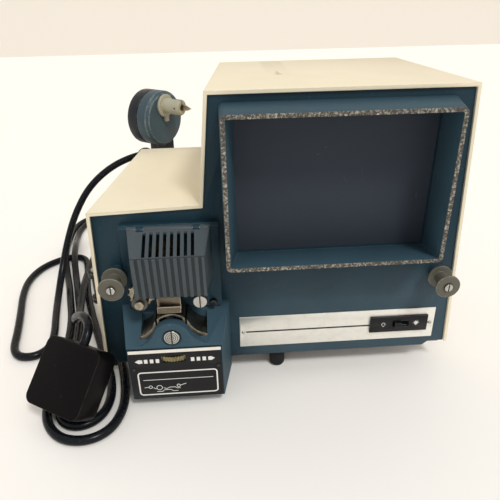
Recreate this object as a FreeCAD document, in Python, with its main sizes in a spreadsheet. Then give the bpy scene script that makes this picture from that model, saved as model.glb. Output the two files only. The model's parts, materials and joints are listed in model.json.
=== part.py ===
import FreeCAD, Part

import math
import os

import Sketcher
from FreeCAD import Placement, Rotation, Vector

# An editor viewer for narrow cine film. X runs to the right, Y to the back, Z up, in millimetres.
# Every piece is drawn with the front face of the panel in the plane y = 0; face_y then moves
# the whole object so that its origin lies under the middle of it, on the table.

DOC = FreeCAD.newDocument("film_viewer")
SHEET = DOC.addObject("Spreadsheet::Sheet", "dim")

SIZES = dict(
    face_y=-72,
    # case outline, seen from the front
    panel_thick=3, panel_foot_left=-124, panel_foot_right=125, panel_low_left=-119,
    panel_low_top=133.4, panel_inner_x=-48.2, panel_inner_z=135.8, panel_tall_left=-41.6,
    panel_tall_right=115.4, panel_top=205, chin_z=16, chin_right=109.8, chin_step=113.8,
    shell_foot=19.5, shell_wall=2.5, shell_lip=1.5, shell_ledge=1.5, panel_gap=0.15,
    case_depth=118, back_foot_left=-106, back_foot_right=110, back_low_left=-100.5,
    back_low_top=140.5, back_inner_x=-36, back_tall_left=-33, back_tall_right=105.5,
    back_top=206.5,
    dent_back_y=112, dent_front_y=44, dent_left_x=-2, dent_right_x=12, dent_x=4.8, dent_deep=4,
    boss_radius=5, boss_height=20, boss_inset_x=6, boss_back_inset=4.5, boss_front_y=16,
    boss_from_back=12,
    # base
    plate_thick=3, plate_inset=2.5, plate_front_x=123, foot_radius=5.75, foot_front_x=0.5,
    foot_front_y=9, foot_rear_x=60, foot_from_back=18, foot_round=2,
    screw_radius=1.5, screw_head_radius=3, screw_head=2, screw_length=14, screw_clearance=0.2,
    # screen and hood
    hood_depth=27, hood_left=-35.3, hood_right=100.3, hood_low=103.3, hood_under_top=5.5,
    hood_base_left=-36, hood_base_right=106, hood_base_low=99.9, hood_base_under_top=4.4,
    hood_wall=2.5, hood_corner=3, screen_left=-27.5, screen_right=97.5, screen_low=102.6,
    screen_under_top=12, screen_thick=2, screen_lap=3, trim_thick=0.3,
    # optics
    optic_x=-72.8, optic_y=-16, prism_z=58.6, prism_side=9, prism_front=-24, prism_rear=-8,
    cap_thick=0.5, cap_radius=4.4, trunnion_radius=1.2, trunnion_length=2.6,
    prism_shaft_radius=2.5, running_gap=0.06,
    barrel_radius=8, barrel_bore=6, barrel_low=26, barrel_top=48.6, lens_thick=3,
    lens_low=29, lens_high=43, wheel_radius=16.9, wheel_low=40.7, wheel_high=44.3,
    wheel_teeth=56, wheel_tooth=0.6, wheel_room=0.9,
    lower_mirror_z=18.5, rear_mirror_x=-57, rear_mirror_from_back=20, rear_mirror_z=45,
    screen_mirror_x=33.5, screen_mirror_from_back=43, screen_mirror_z=148, screen_centre_x=35,
    mirror_thick=2, lower_mirror_side=13, rear_mirror_side=24, screen_mirror_side=66,
    backing_thick=2, strut_side=8,
    # film gate box
    gate_box_front=-31, gate_box_left=-103, gate_box_right=-40.4, gate_back_left=-108,
    gate_back_right=-34.5, gate_box_low=8, gate_box_top=52, gate_back_top=66, gate_wall=2.5,
    gate_shelf=2.3, gate_floor_low=46.2, gate_floor=50, gate_left=-94, gate_right=-50,
    hump_front_wall=6, hump_radius=12.2, hump_z=57.8, hump_end_z=52.6,
    bell_radius=12.6, bell_z=60.7, bell_end_z=56.5, bell_start=25, bell_sag=1.8,
    gate_front=-24.9, gate_rear=-6.3, gate_half=9, gate_leg=1.6, gate_slot=1.2, aperture_radius=3,
    beam_left=-84, beam_right=-60, beam_low=20, beam_top=36,
    plate_sheet=1, label_left=-102.4, label_right=-41, label_low=9.1, label_top=50.8,
    frame_head_radius=5.25, frame_head=1.3, frame_recess_radius=6.5, frame_recess=1.5,
    frame_shank_radius=2.1, frame_slot=0.9, label_screw_x=28, label_screw_z=35,
    label_screw_radius=1.3, label_screw_pin=0.7,
    # gears
    gear_module=1.2, gear_teeth=36, pinion_teeth=12, gear_low_y=6, gear_width=4,
    gear_slim=0.09, sprocket_x=-91.8, sprocket_shaft_radius=2.2,
    bridge_gap=1, bridge_thick=2, post_radius=3,
    # film path
    sprocket_radius=8.1, sprocket_teeth=12, tooth_height=1.2, tooth_width=1.5, tooth_ring=1.3,
    sprocket_hub=5.2, sprocket_front=-22, sprocket_rear=-8, sprocket_cap=-25, cap_end_radius=3.1,
    flange_ring=7.6, tooth_row=-10.6,
    roller_left_x=-108.3, roller_left_z=91.9, roller_right_x=109.8, roller_right_z=81.3,
    roller_flange=8.2, roller_flange_thick=1.5, roller_hub=4.4, roller_front=-22.5,
    roller_rear=-8, roller_spacer=0.8, roller_boss=5.3, roller_boss_length=7,
    stud_radius=2, stud_gap=0.08, stud_head_radius=2.8, stud_head=1.4, stud_rear=5,
    guide_x=-53.1, guide_z=81.9, guide_radius=4.2, guide_head_radius=4.5, guide_front=-24.4,
    # lamp
    plinth_left=-102, plinth_right=-39.4, plinth_low=66, plinth_top=127.5, plinth_thick=6,
    plinth_bevel=1.5, house_back=-6.3, house_top_back=-7.6, house_top=128, house_fold_y=-30,
    house_fold_z=116.2, house_low_y=-28, house_low=87.6, house_side_low=91.5,
    house_back_left=-96.6, house_back_right=-44, house_front_left=-92.7, house_front_right=-48.4,
    house_wall=1.6, slot_count=8, slot_width=2.1, slot_pitch=4.24, slot_first_x=-84.98,
    slot_back=-11.8, slot_front=-28.2, flute_depth=0.9,
    hinge_y=-8.5, hinge_z=126, hinge_radius=1.2, hinge_knuckle=2, hinge_gap=0.06,
    lug_width=4, lug_left_x=-90, lug_right_x=-55, lug_gap=0.3,
    press_left=-80, press_right=-65.2, press_z=77.2, press_thick=1.2, press_front=-28.4,
    press_rear=-8, press_lip=3.4, press_top=97,
    socket_radius=5.5, socket_low=104, socket_high=112, socket_arm=4, bulb_radius=6,
    bulb_z=96.5, bulb_neck=4, reflector_radius=9.6, reflector_sheet=0.7, reflector_low=90,
    reflector_high=117,
    marker_x=-45.2, marker_z=69.2, marker_radius=2.4, marker_front=-9.6, marker_flange=3.6,
    marker_flange_thick=1.4, marker_gap=0.1,
    # nameplate and switch
    name_left=-27.7, name_right=115.2, name_low=24.4, name_top=50.1, name_thick=0.8,
    rivet_left_x=-25, rivet_right_x=112.4, rivet_z=37.2, rivet_radius=1.4, rivet_head=0.6,
    bezel_left=67.2, bezel_right=109.8, bezel_low=31.8, bezel_top=44.9, bezel_thick=1.8,
    switch_x=87.5, switch_z=38.3, switch_slot_left=84, switch_slot_right=96,
    switch_slot_height=4.6, knob_width=5, knob_height=4.2, knob_proud=2,
    switch_flange=2, switch_body_left=76, switch_body_right=104, switch_body_low=30,
    switch_body_top=47, switch_body_deep=14, switch_room=6,
    # mains transformer
    core_left=52, core_right=100, core_from_back=20, core_thick=32, core_height=40, core_limb=8,
    coil_overhang=10, coil_gap=0.3,
    # cord
    gland_x=-48, gland_z=112, gland_flange=8, gland_flange_thick=2.5, gland_neck=5.5,
    gland_nut=2.4, boot_radius=5.6, boot_tip=4, boot_length=22, cord_radius=3.2,
    peg_x=-98.5, peg_z=131.5, peg_shank=2.4, peg_head=7.5, peg_stand=6, peg_head_thick=6,
    hank_height=7,
    plug_x=-166.68, plug_y=-26.64, plug_turn=-31.2, plug_tilt=46, plug_side=46, plug_thick=18,
    plug_round=6, pin_length=16.5, pin_row=40, pin_width=6.3, pin_thick=4, pin_space=22,
    earth_length=14.8,
    # rewind arms and units
    swivel_x=128.5, swivel_y=24, arm_low=60, arm_height=16, arm_thick=4, barrel_outer=4,
    swivel_pin=2, swivel_head=3.4, lug_thick=4, lug_space=0.5, lug_reach=6, lug_depth=12,
    lug_root=16, elbow_x=113, elbow_behind=18, unit_x=90.2, unit_behind=30, unit_z=159.3, unit_turn=126,
    unit_radius=22.75, unit_front_radius=20.5, housing_deep=12, housing_wall=2.6,
    housing_straight=9.5, crank_deep=10, crank_gap=0.5, crank_web=2, axle_radius=2.95,
    axle_gap=0.07, hub_radius=4.4, riser_width=21, riser_start=1, riser_end=9.5, seat_gap=0.05,
    ring_teeth=36, wind_module=0.91667, wind_slim=0.08, spindle_rise=11, spindle_shaft=2.5,
    pinion_front=-1, pinion_rear=-7.2, spindle_flange=9.25, spindle_flange_thick=2,
    spindle_gap=0.2, spindle_radius=6.3, spindle_length=17, spindle_tip=1.2, spindle_bore=2.75,
    spindle_bore_deep=12, spindle_slot=2.2, tab_width=4, tab_drop=3.6,
    latch_pivot=27.5, latch_half=2.2, latch_thick=1.4, latch_tip=40.2, latch_pin=0.8,
    latch_pin_gap=0.07, latch_pin_length=10, knob_reach=15, knob_radius=4, knob_length=15.6,
    knob_start=0.4, knob_pin=1.5, knob_bore_gap=0.08, knob_cap=2.6, knob_cap_thick=1.2,
)


class Size:
    """A length, count or angle that knows its number and the sheet expression that gives it."""

    def __init__(self, number, text):
        self.number = float(number)
        self.text = text

    def __add__(self, other):
        other = sized(other)
        return Size(self.number + other.number, f"({self.text} + {other.text})")

    def __radd__(self, other):
        return sized(other) + self

    def __sub__(self, other):
        other = sized(other)
        return Size(self.number - other.number, f"({self.text} - {other.text})")

    def __rsub__(self, other):
        return sized(other) - self

    def __mul__(self, other):
        other = sized(other)
        return Size(self.number * other.number, f"({self.text} * {other.text})")

    def __rmul__(self, other):
        return sized(other) * self

    def __truediv__(self, other):
        other = sized(other)
        return Size(self.number / other.number, f"({self.text} / {other.text})")

    def __neg__(self):
        return Size(-self.number, f"(-{self.text})")


def sized(value):
    """The value as a Size; a plain number becomes a constant."""
    return value if isinstance(value, Size) else Size(value, f"({float(value)!r})")


def root(size):
    return Size(math.sqrt(size.number), f"sqrt({size.text})")


def cosine(angle):
    return Size(math.cos(math.radians(angle.number)), f"cos({angle.text} * 1 deg)")


def sine(angle):
    return Size(math.sin(math.radians(angle.number)), f"sin({angle.text} * 1 deg)")


class Sizes:
    """The driving dimensions as attributes, each one a cell of the sheet."""

    def __init__(self, values):
        for row, (name, value) in enumerate(values.items(), 1):
            SHEET.set(f"A{row}", name)
            SHEET.set(f"B{row}", str(value))
            SHEET.setAlias(f"B{row}", name)
            setattr(self, name, Size(value, f"dim.{name}"))


d = Sizes(SIZES)


def rear(distance):
    """The depth that lies this far in front of the case's back."""
    return d.case_depth - distance


def under_top(distance):
    """The height that lies this far below the panel's top."""
    return d.panel_top - distance
DOC.recompute()

NODES = []
TURNS = {
    "X": Rotation(Vector(0, 1, 0), 90),
    "Y": Rotation(Vector(1, 0, 0), -90),
    "Z": Rotation(),
}


def drive(thing, path, size):
    thing.setExpression(path, sized(size).text)


def place(thing, at, rotation=Rotation()):
    """Turn the object and bind its base point to three sizes."""
    at = [sized(value) for value in at]
    thing.Placement = Placement(Vector(*[value.number for value in at]), rotation)
    for axis, value in zip("xyz", at):
        drive(thing, "Placement.Base." + axis, value)
    return thing


def box(name, low, high):
    solid = DOC.addObject("Part::Box", name)
    for field, start, end in zip(("Length", "Width", "Height"), low, high):
        drive(solid, field, sized(end) - start)
    return place(solid, low)


def cylinder(name, radius, at, length, along="Z"):
    solid = DOC.addObject("Part::Cylinder", name)
    drive(solid, "Radius", radius)
    drive(solid, "Height", length)
    return place(solid, at, TURNS[along])


def fuse(name, *parts):
    solid = DOC.addObject("Part::MultiFuse", name)
    solid.Shapes = list(parts)
    return solid


def cut(name, base, *tools):
    solid = DOC.addObject("Part::Cut", name)
    solid.Base = base
    solid.Tool = tools[0] if len(tools) == 1 else fuse(name + "_tools", *tools)
    return solid


def common(name, *parts):
    solid = DOC.addObject("Part::MultiCommon", name)
    solid.Shapes = list(parts)
    return solid


def group(name, *parts):
    compound = DOC.addObject("Part::Compound", name)
    compound.Links = list(parts)
    return compound


def feature(name, shape):
    solid = DOC.addObject("Part::Feature", name)
    solid.Shape = shape
    return solid


def sketch_polygon(body, name, plane, corners, offset):
    """A closed polygon on one of the body's own planes, each corner bound to two sizes."""
    sketch = body.newObject("Sketcher::SketchObject", name)
    datum = [item for item in body.Origin.OriginFeatures if item.Role == plane + "_Plane"][0]
    sketch.AttachmentSupport = [(datum, "")]
    sketch.MapMode = "FlatFace"
    drive(sketch, "AttachmentOffset.Base.z", offset)
    corners = [(sized(across), sized(up)) for across, up in corners]
    points = [Vector(across.number, up.number, 0) for across, up in corners]
    count = len(points)
    for index in range(count):
        sketch.addGeometry(Part.LineSegment(points[index], points[(index + 1) % count]), False)
    for index in range(count):
        sketch.addConstraint(Sketcher.Constraint("Coincident", index, 2, (index + 1) % count, 1))
    for index, (across, up) in enumerate(corners):
        for kind, size in (("DistanceX", across), ("DistanceY", up)):
            row = sketch.addConstraint(Sketcher.Constraint(kind, -1, 1, index, 1, size.number))
            sketch.setExpression(f"Constraints[{row}]", size.text)
    return sketch


def pad(name, plane, corners, start, length):
    """A polygon drawn in plane XY, XZ or YZ and padded along the third axis from start."""
    body = DOC.addObject("PartDesign::Body", name)
    start = sized(start)
    backwards = plane == "XZ"
    outline = sketch_polygon(body, name + "_outline", plane, corners, -start if backwards else start)
    solid = body.newObject("PartDesign::Pad", name + "_pad")
    solid.Profile = outline
    solid.Reversed = backwards
    drive(solid, "Length", length)
    return body


def turned(name, profile, at, along="Z"):
    """A profile of (radius, height) corners revolved about its own axis, which runs along X, Y or Z."""
    body = DOC.addObject("PartDesign::Body", name)
    outline = sketch_polygon(body, name + "_outline", "XZ", profile, 0)
    solid = body.newObject("PartDesign::Revolution", name + "_turn")
    solid.Profile = outline
    solid.ReferenceAxis = (outline, ["V_Axis"])
    solid.Angle = 360
    return place(body, at, TURNS[along])


def node(label, solid):
    """Register a finished piece; its own placement carries it to the object's frame."""
    own_place = solid.TypeId in ("Part::Box", "Part::Cylinder") or not solid.Placement.isIdentity()
    piece = group(label + "_piece", solid) if own_place else solid
    piece.Label = label
    drive(piece, "Placement.Base.y", d.face_y)
    NODES.append(piece)
    return piece


# ---------------------------------------------------------------- case

def case_outline():
    """The upper outline of the panel, from the left foot over the top to the right foot."""
    corners = (
        (d.panel_foot_left, d.shell_foot), (d.panel_low_left, d.panel_low_top),
        (d.panel_inner_x, d.panel_inner_z), (d.panel_tall_left, d.panel_top),
        (d.panel_tall_right, d.panel_top), (d.panel_foot_right, d.shell_foot),
    )
    return [(across.number, up.number) for across, up in corners]


def back_outline():
    corners = (
        (d.back_foot_left, d.shell_foot), (d.back_low_left, d.back_low_top),
        (d.back_inner_x, d.back_low_top), (d.back_tall_left, d.back_top),
        (d.back_tall_right, d.back_top), (d.back_foot_right, d.shell_foot),
    )
    return [(across.number, up.number) for across, up in corners]


def crossing(first, second):
    """Where two lines, each given by two points, meet."""
    (x1, z1), (x2, z2) = first
    (x3, z3), (x4, z4) = second
    turn = (x1 - x2) * (z3 - z4) - (z1 - z2) * (x3 - x4)
    left = x1 * z2 - z1 * x2
    right = x3 * z4 - z3 * x4
    return (left * (x3 - x4) - (x1 - x2) * right) / turn, (left * (z3 - z4) - (z1 - z2) * right) / turn


def grown(outline, distance, foot):
    """The outline moved outwards by a distance, with both ends on the level of the foot."""
    edges = []
    for (x1, z1), (x2, z2) in zip(outline, outline[1:]):
        length = math.hypot(x2 - x1, z2 - z1)
        shift_x = -(z2 - z1) / length * distance
        shift_z = (x2 - x1) / length * distance
        edges.append(((x1 + shift_x, z1 + shift_z), (x2 + shift_x, z2 + shift_z)))
    level = ((-1, foot), (1, foot))
    corners = [crossing(edges[0], level)]
    corners += [crossing(one, other) for one, other in zip(edges, edges[1:])]
    return corners + [crossing(edges[-1], level)]


def outline_wire(outline, depth):
    points = [Vector(across, depth, up) for across, up in outline]
    return Part.makePolygon(points + points[:1])


def case_solid(front_grow, back_grow, front_y, back_y, foot):
    """A tapered block between the front outline and the back outline."""
    front = outline_wire(grown(case_outline(), front_grow, foot), front_y)
    back = outline_wire(grown(back_outline(), back_grow, foot), back_y)
    block = Part.makeLoft([front, back], True, True)
    if block.Volume < 0:
        block.reverse()
    return block


def shell_bosses():
    """Screw bosses in the four corners: their places at the front and at the back."""
    front_y = d.boss_front_y
    back_y = rear(d.boss_from_back)
    return (
        (d.panel_foot_left + d.boss_inset_x, front_y), (d.panel_foot_right - d.boss_inset_x, front_y),
        (d.back_foot_left + d.boss_back_inset, back_y), (d.back_foot_right - d.boss_back_inset, back_y),
    )


def rear_shell():
    wall = d.shell_wall.number
    foot = d.shell_foot.number
    below = foot - 10
    outer = case_solid(wall, 0, -d.shell_lip.number, d.case_depth.number, foot)
    rebate = Part.Face(outline_wire(grown(case_outline(), d.panel_gap.number, below), -10))
    rebate = rebate.extrude(Vector(0, 10 + d.panel_thick.number, 0))
    inner = case_solid(-d.shell_ledge.number, -wall, d.panel_thick.number, d.case_depth.number - wall, below)
    top = max(d.panel_top.number, d.back_top.number)
    backing = Part.makeBox(
        d.dent_right_x.number - d.dent_left_x.number + 8, d.dent_back_y.number - d.dent_front_y.number + 6,
        wall + d.dent_deep.number,
        Vector(d.dent_left_x.number - 4, d.dent_front_y.number - 4, top - wall - 4.5))
    rim = top + wall + 3
    middle = (d.dent_left_x.number + d.dent_right_x.number) / 2
    high = [Vector(middle, d.dent_back_y.number, rim),
        Vector(d.dent_left_x.number - 2, d.dent_front_y.number, rim),
            Vector(d.dent_right_x.number + 2, d.dent_front_y.number, rim)]
    deep = Vector(d.dent_x.number, d.dent_front_y.number + 7.5, top + wall - d.dent_deep.number)
    dent = tetrahedron(high + [deep])
    solid = outer.cut(rebate).cut(inner).fuse(backing).cut(dent)
    for across, depth in shell_bosses():
        place_at = Vector(across.number, depth.number, foot)
        boss = Part.makeCylinder(d.boss_radius.number, d.boss_height.number, place_at)
        hole = Part.makeCylinder(d.screw_radius.number, d.screw_length.number, place_at)
        solid = solid.fuse(boss.common(outer)).cut(hole)
    gland = Part.makeCylinder(
        d.gland_neck.number, 10, Vector(d.gland_x.number, d.case_depth.number - 6, d.gland_z.number),
        Vector(0, 1, 0))
    feature("shell_outer", outer)
    return node("rear_shell", feature("shell_solid", solid.cut(gland).removeSplitter()))


def tetrahedron(corners):
    faces = []
    for skip in range(4):
        triangle = [corner for index, corner in enumerate(corners) if index != skip]
        faces.append(Part.Face(Part.makePolygon(triangle + triangle[:1])))
    return Part.makeSolid(Part.makeShell(faces))


def front_panel():
    sheet = pad("panel_sheet", "XZ", (
        (d.panel_foot_left, d.chin_z), (d.panel_low_left, d.panel_low_top),
        (d.panel_inner_x, d.panel_inner_z), (d.panel_tall_left, d.panel_top),
        (d.panel_tall_right, d.panel_top), (d.panel_foot_right, d.shell_foot),
        (d.chin_step, d.shell_foot), (d.chin_right, d.chin_z)), 0, d.panel_thick)
    bosses = [
        cylinder(side + "_boss", d.roller_boss, (across, -d.roller_boss_length, up), d.roller_boss_length,
        "Y")
        for side, across, up in (
            ("left", d.roller_left_x, d.roller_left_z), ("right", d.roller_right_x, d.roller_right_z))]
    through = -d.roller_boss_length - 1
    far = d.panel_thick + 1 - through
    holes = [
        cylinder("hole_left_stud", d.stud_radius, (d.roller_left_x, through, d.roller_left_z), far, "Y"),
        cylinder("hole_right_stud", d.stud_radius, (d.roller_right_x, through, d.roller_right_z), far, "Y"),
        cylinder("hole_guide", d.stud_radius, (d.guide_x, through, d.guide_z), far, "Y"),
        cylinder("hole_sprocket", d.sprocket_shaft_radius + d.running_gap,
                 (d.sprocket_x, through, sprocket_height()), far, "Y"),
        cylinder("hole_prism", d.prism_shaft_radius + d.running_gap, (d.optic_x, through, d.prism_z), far,
        "Y"),
        cylinder("hole_marker", d.marker_radius + d.marker_gap, (d.marker_x, through, d.marker_z), far, "Y"),
        box("hole_beam", (d.beam_left, -1, d.beam_low), (d.beam_right, d.panel_thick + 1, d.beam_top)),
        box("hole_wheel", (d.optic_x - d.wheel_radius * 0.62, -1, d.wheel_low - d.wheel_room),
            (d.optic_x + d.wheel_radius * 0.62, d.panel_thick + 1, d.wheel_high + d.wheel_room)),
        box("hole_screen", (d.screen_left, -1, d.screen_low),
        (d.screen_right, d.panel_thick + 1, under_top(d.screen_under_top))),
        box("hole_switch", (d.switch_slot_left, -1, d.switch_z - d.switch_slot_height / 2),
            (d.switch_slot_right, d.panel_thick + 1, d.switch_z + d.switch_slot_height / 2)),
    ]
    for side, across in (("left", d.rivet_left_x), ("right", d.rivet_right_x)):
        holes.append(cylinder("hole_rivet_" + side, d.rivet_radius / 2, (across, -1, d.rivet_z),
            d.panel_thick + 2, "Y"))
    return node("front_panel", cut("panel_cut", fuse("panel_raised", sheet, *bosses), *holes))


def base_plate():
    front = d.panel_thick
    rear = d.case_depth - d.plate_inset / 2
    low = d.shell_foot - d.plate_thick
    sheet = pad("base_sheet", "XY", (
        (-d.plate_front_x, front), (d.plate_front_x, front),
        (d.back_foot_right - d.plate_inset, rear),
        (d.back_foot_left + d.plate_inset, rear)), low, d.plate_thick)
    holes = [
        cylinder(f"base_hole_{index}", d.screw_radius + d.screw_clearance, (across, depth, low - 1),
        d.plate_thick + 2)
        for index, (across, depth) in enumerate(shell_bosses())]
    return node("base_plate", cut("base_cut", sheet, *holes))


def rubber_feet():
    top = d.shell_foot - d.plate_thick
    profile = (
        (0, 0), (d.foot_radius - d.foot_round, 0), (d.foot_radius - 0.3 * d.foot_round, 0.3 * d.foot_round),
        (d.foot_radius, d.foot_round), (d.foot_radius, top), (0, top))
    rear_y = rear(d.foot_from_back)
    places = ((d.foot_front_x, d.foot_front_y), (-d.foot_rear_x, rear_y), (d.foot_rear_x, rear_y))
    feet = [turned(f"foot_{index}", profile, (across, depth, 0)) for index,
        (across, depth) in enumerate(places)]
    return node("rubber_feet", group("feet", *feet))


def panel_screws():
    """Base screws, rivets of the nameplate and the two screws of the gate label."""
    low = d.shell_foot - d.plate_thick
    base = (
        (0, -d.screw_head), (d.screw_head_radius * 0.8, -d.screw_head),
        (d.screw_head_radius, -0.5 * d.screw_head),
        (d.screw_head_radius, 0), (d.screw_radius, 0), (d.screw_radius, d.screw_length), (0, d.screw_length))
    screws = [
        turned(f"base_screw_{index}", base, (across, depth, low))
        for index, (across, depth) in enumerate(shell_bosses())]
    rivet = (
        (0, -d.rivet_head), (d.rivet_radius * 0.7, -d.rivet_head), (d.rivet_radius, 0),
        (d.rivet_radius / 2, 0),
        (d.rivet_radius / 2, d.name_thick + d.panel_thick), (0, d.name_thick + d.panel_thick))
    for index, across in enumerate((d.rivet_left_x, d.rivet_right_x)):
        screws.append(turned(f"rivet_{index}", rivet, (across, -d.name_thick, d.rivet_z), "Y"))
    face = d.gate_box_front - d.plate_sheet
    tiny = (
        (0, -0.6), (d.label_screw_radius * 0.8, -0.6), (d.label_screw_radius, -0.2),
        (d.label_screw_radius, 0),
        (d.label_screw_pin, 0), (d.label_screw_pin, d.plate_sheet + 1.5), (0, d.plate_sheet + 1.5))
    middle = (d.label_left + d.label_right) / 2
    for index, side in enumerate((-1, 1)):
        at = (middle + side * d.label_screw_x, face, d.label_screw_z)
        screws.append(turned(f"label_screw_{index}", tiny, at, "Y"))
    return node("panel_screws", group("screws", *screws))


# ---------------------------------------------------------------- screen

def rounded_rectangle(left, right, low, top, depth, radius):
    """A rectangle with round corners in a plane of constant y."""
    middle = radius * (1 - math.sqrt(0.5))
    corners = ((right, top, -1, -1), (left, top, 1, -1), (left, low, 1, 1), (right, low, -1, 1))
    points = []
    for index, (across, up, way_x, way_z) in enumerate(corners):
        side = Vector(across, depth, up + way_z * radius)
        head = Vector(across + way_x * radius, depth, up)
        centre = Vector(across + way_x * middle, depth, up + way_z * middle)
        points.append((side, centre, head) if index % 2 == 0 else (head, centre, side))
    edges = []
    for index, (start, centre, end) in enumerate(points):
        edges.append(Part.Arc(start, centre, end).toShape())
        edges.append(Part.LineSegment(end, points[(index + 1) % 4][0]).toShape())
    return Part.Wire(edges)


def hood_rim(inset, radius):
    """The hood's rectangle at its rim, moved inwards."""
    return rounded_rectangle(
        d.hood_left.number + inset, d.hood_right.number - inset, d.hood_low.number + inset,
        under_top(d.hood_under_top).number - inset, -d.hood_depth.number, radius)


def screen_hood():
    radius = d.hood_corner.number
    outer = Part.makeLoft([hood_rim(0, radius), rounded_rectangle(
        d.hood_base_left.number, d.hood_base_right.number, d.hood_base_low.number,
        under_top(d.hood_base_under_top).number, 0, radius)], True, True)
    wall = d.hood_wall.number
    inner = Part.makeLoft([hood_rim(wall, radius * 0.4), rounded_rectangle(
        d.screen_left.number, d.screen_right.number, d.screen_low.number,
        under_top(d.screen_under_top).number,
        0, radius * 0.4)], True, True)
    return node("screen_hood", feature("hood_solid", outer.cut(inner)))


def hood_trim():
    """The thin metal foil on the rim of the hood."""
    outer = Part.Face(hood_rim(0, d.hood_corner.number))
    inner = Part.Face(hood_rim(d.hood_wall.number, d.hood_corner.number * 0.4))
    ring = outer.cut(inner).extrude(Vector(0, -d.trim_thick.number, 0))
    return node("hood_trim", feature("trim_ring", ring))


def viewing_screen():
    return node("viewing_screen", box("screen_sheet", (
        d.screen_left - d.screen_lap, d.panel_thick, d.screen_low - d.screen_lap), (
        d.screen_right + d.screen_lap, d.panel_thick + d.screen_thick,
        under_top(d.screen_under_top) + d.screen_lap)))


# ---------------------------------------------------------------- mirrors

def beam_points():
    """The folded light path: below the lens, the rear mirror, the screen mirror, the screen."""
    return (
        Vector(d.optic_x.number, d.optic_y.number, d.lower_mirror_z.number + 10),
        Vector(d.optic_x.number, d.optic_y.number, d.lower_mirror_z.number),
        Vector(d.rear_mirror_x.number, rear(d.rear_mirror_from_back).number, d.rear_mirror_z.number),
        Vector(d.screen_mirror_x.number, rear(d.screen_mirror_from_back).number, d.screen_mirror_z.number),
        Vector(d.screen_centre_x.number, 0, d.screen_mirror_z.number),
    )


def mirror_turn(index):
    """The rotation that lays a plate's Z axis along the mirror's normal at one point of the beam."""
    before, here, after = beam_points()[index - 1:index + 2]
    normal = (after - here).normalize() - (here - before).normalize()
    normal.normalize()
    side = Vector(0, 0, 1).cross(normal).normalize()
    return Rotation(side, normal.cross(side), normal, "ZXY")


def mirror_plate(name, index, side, thick, below):
    """A square plate centred on a point of the beam, its upper face the given distance below the point."""
    plate = DOC.addObject("Part::Box", name)
    drive(plate, "Length", side)
    drive(plate, "Width", side)
    drive(plate, "Height", thick)
    turn = mirror_turn(index)
    half = side.number / 2
    corner = turn.multVec(Vector(-half, -half, -below - thick.number))
    plate.Placement = Placement(beam_points()[index] + corner, turn)
    return plate


def screen_mirror():
    return node("screen_mirror", mirror_plate("screen_glass", 3, d.screen_mirror_side, d.mirror_thick, 0))


def small_mirrors():
    lower = mirror_plate("lower_glass", 1, d.lower_mirror_side, d.mirror_thick, 0)
    rear = mirror_plate("rear_glass", 2, d.rear_mirror_side, d.mirror_thick, 0)
    return node("small_mirrors", group("small_glasses", lower, rear))


def mirror_mounts():
    """Wedges under the two small mirrors, and a backing plate on struts for the screen mirror."""
    under = d.mirror_thick.number
    wedges = []
    floors = (d.gate_box_low + d.gate_wall, d.shell_foot)
    sides = (d.lower_mirror_side, d.rear_mirror_side)
    for index, (floor, side) in enumerate(zip(floors, sides), 1):
        turn = mirror_turn(index)
        half = side.number / 2
        centre = beam_points()[index] - turn.multVec(Vector(0, 0, under))
        corners = [centre + turn.multVec(Vector(a * half, b * half, 0)) for a,
            b in ((-1, -1), (1, -1), (1, 1), (-1, 1))]
        face = Part.Face(Part.makePolygon(corners + corners[:1]))
        column = face.extrude(Vector(0, 0, -centre.z))
        room = Part.makeBox(400, 400, 200, Vector(-200, -200, floor.number))
        wedges.append(feature(f"mirror_wedge_{index}", column.common(room)))
    backing = mirror_plate("screen_backing", 3, d.screen_mirror_side, d.backing_thick, under)
    turn = mirror_turn(3)
    behind = DOC.addObject("Part::Box", "mirror_front_room")
    behind.Length = behind.Width = behind.Height = 300
    depth = under + d.backing_thick.number / 2
    behind.Placement = Placement(beam_points()[3] + turn.multVec(Vector(-150, -150, -depth)), turn)
    wall_y = d.case_depth - d.shell_wall
    struts = []
    for index, (way_x, way_z) in enumerate(((-1, -1), (1, -1), (0, 1))):
        across = d.screen_mirror_x + way_x * d.screen_mirror_side / 4
        up = d.screen_mirror_z + way_z * d.screen_mirror_side / 4
        half = d.strut_side / 2
        strut = box(f"strut_{index}", (across - half, rear(d.screen_mirror_from_back) - 30, up - half),
            (across + half, wall_y, up + half))
        struts.append(cut(f"strut_cut_{index}", strut, behind))
    return node("mirror_mounts", group("mounts", *wedges, fuse("screen_mount", backing, *struts)))


# ---------------------------------------------------------------- film gate box

def sprocket_height():
    """The sprocket sits above the prism at the distance that meshes their gears."""
    distance = d.gear_module * (d.gear_teeth + d.pinion_teeth) / 2
    across = d.optic_x - d.sprocket_x
    return d.prism_z + root(distance * distance - across * across)


def bell_edges(radius, centre_z, end_z, depth):
    """The bell curve of the gate: a hollow shoulder, the arch and the second shoulder."""
    angle = math.radians(d.bell_start.number)
    middle = d.optic_x.number
    foot_x = radius * math.cos(angle)
    foot_z = centre_z + radius * math.sin(angle)
    edges = []
    for way, end_x in ((-1, d.gate_left.number), (1, d.gate_right.number)):
        end = Vector(end_x, depth, end_z)
        foot = Vector(middle + way * foot_x, depth, foot_z)
        chord = (foot - end).normalize()
        sag = Vector(-way * chord.z, 0, way * chord.x) * d.bell_sag.number
        between = (end + foot) * 0.5 + sag
        edges.append(Part.Arc(end, between, foot) if way < 0 else Part.Arc(foot, between, end))
    crown = Part.Arc(
        Vector(middle - foot_x, depth, foot_z), Vector(middle, depth, centre_z + radius),
        Vector(middle + foot_x, depth, foot_z))
    return [edges[0].toShape(), crown.toShape(), edges[1].toShape()]


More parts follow.
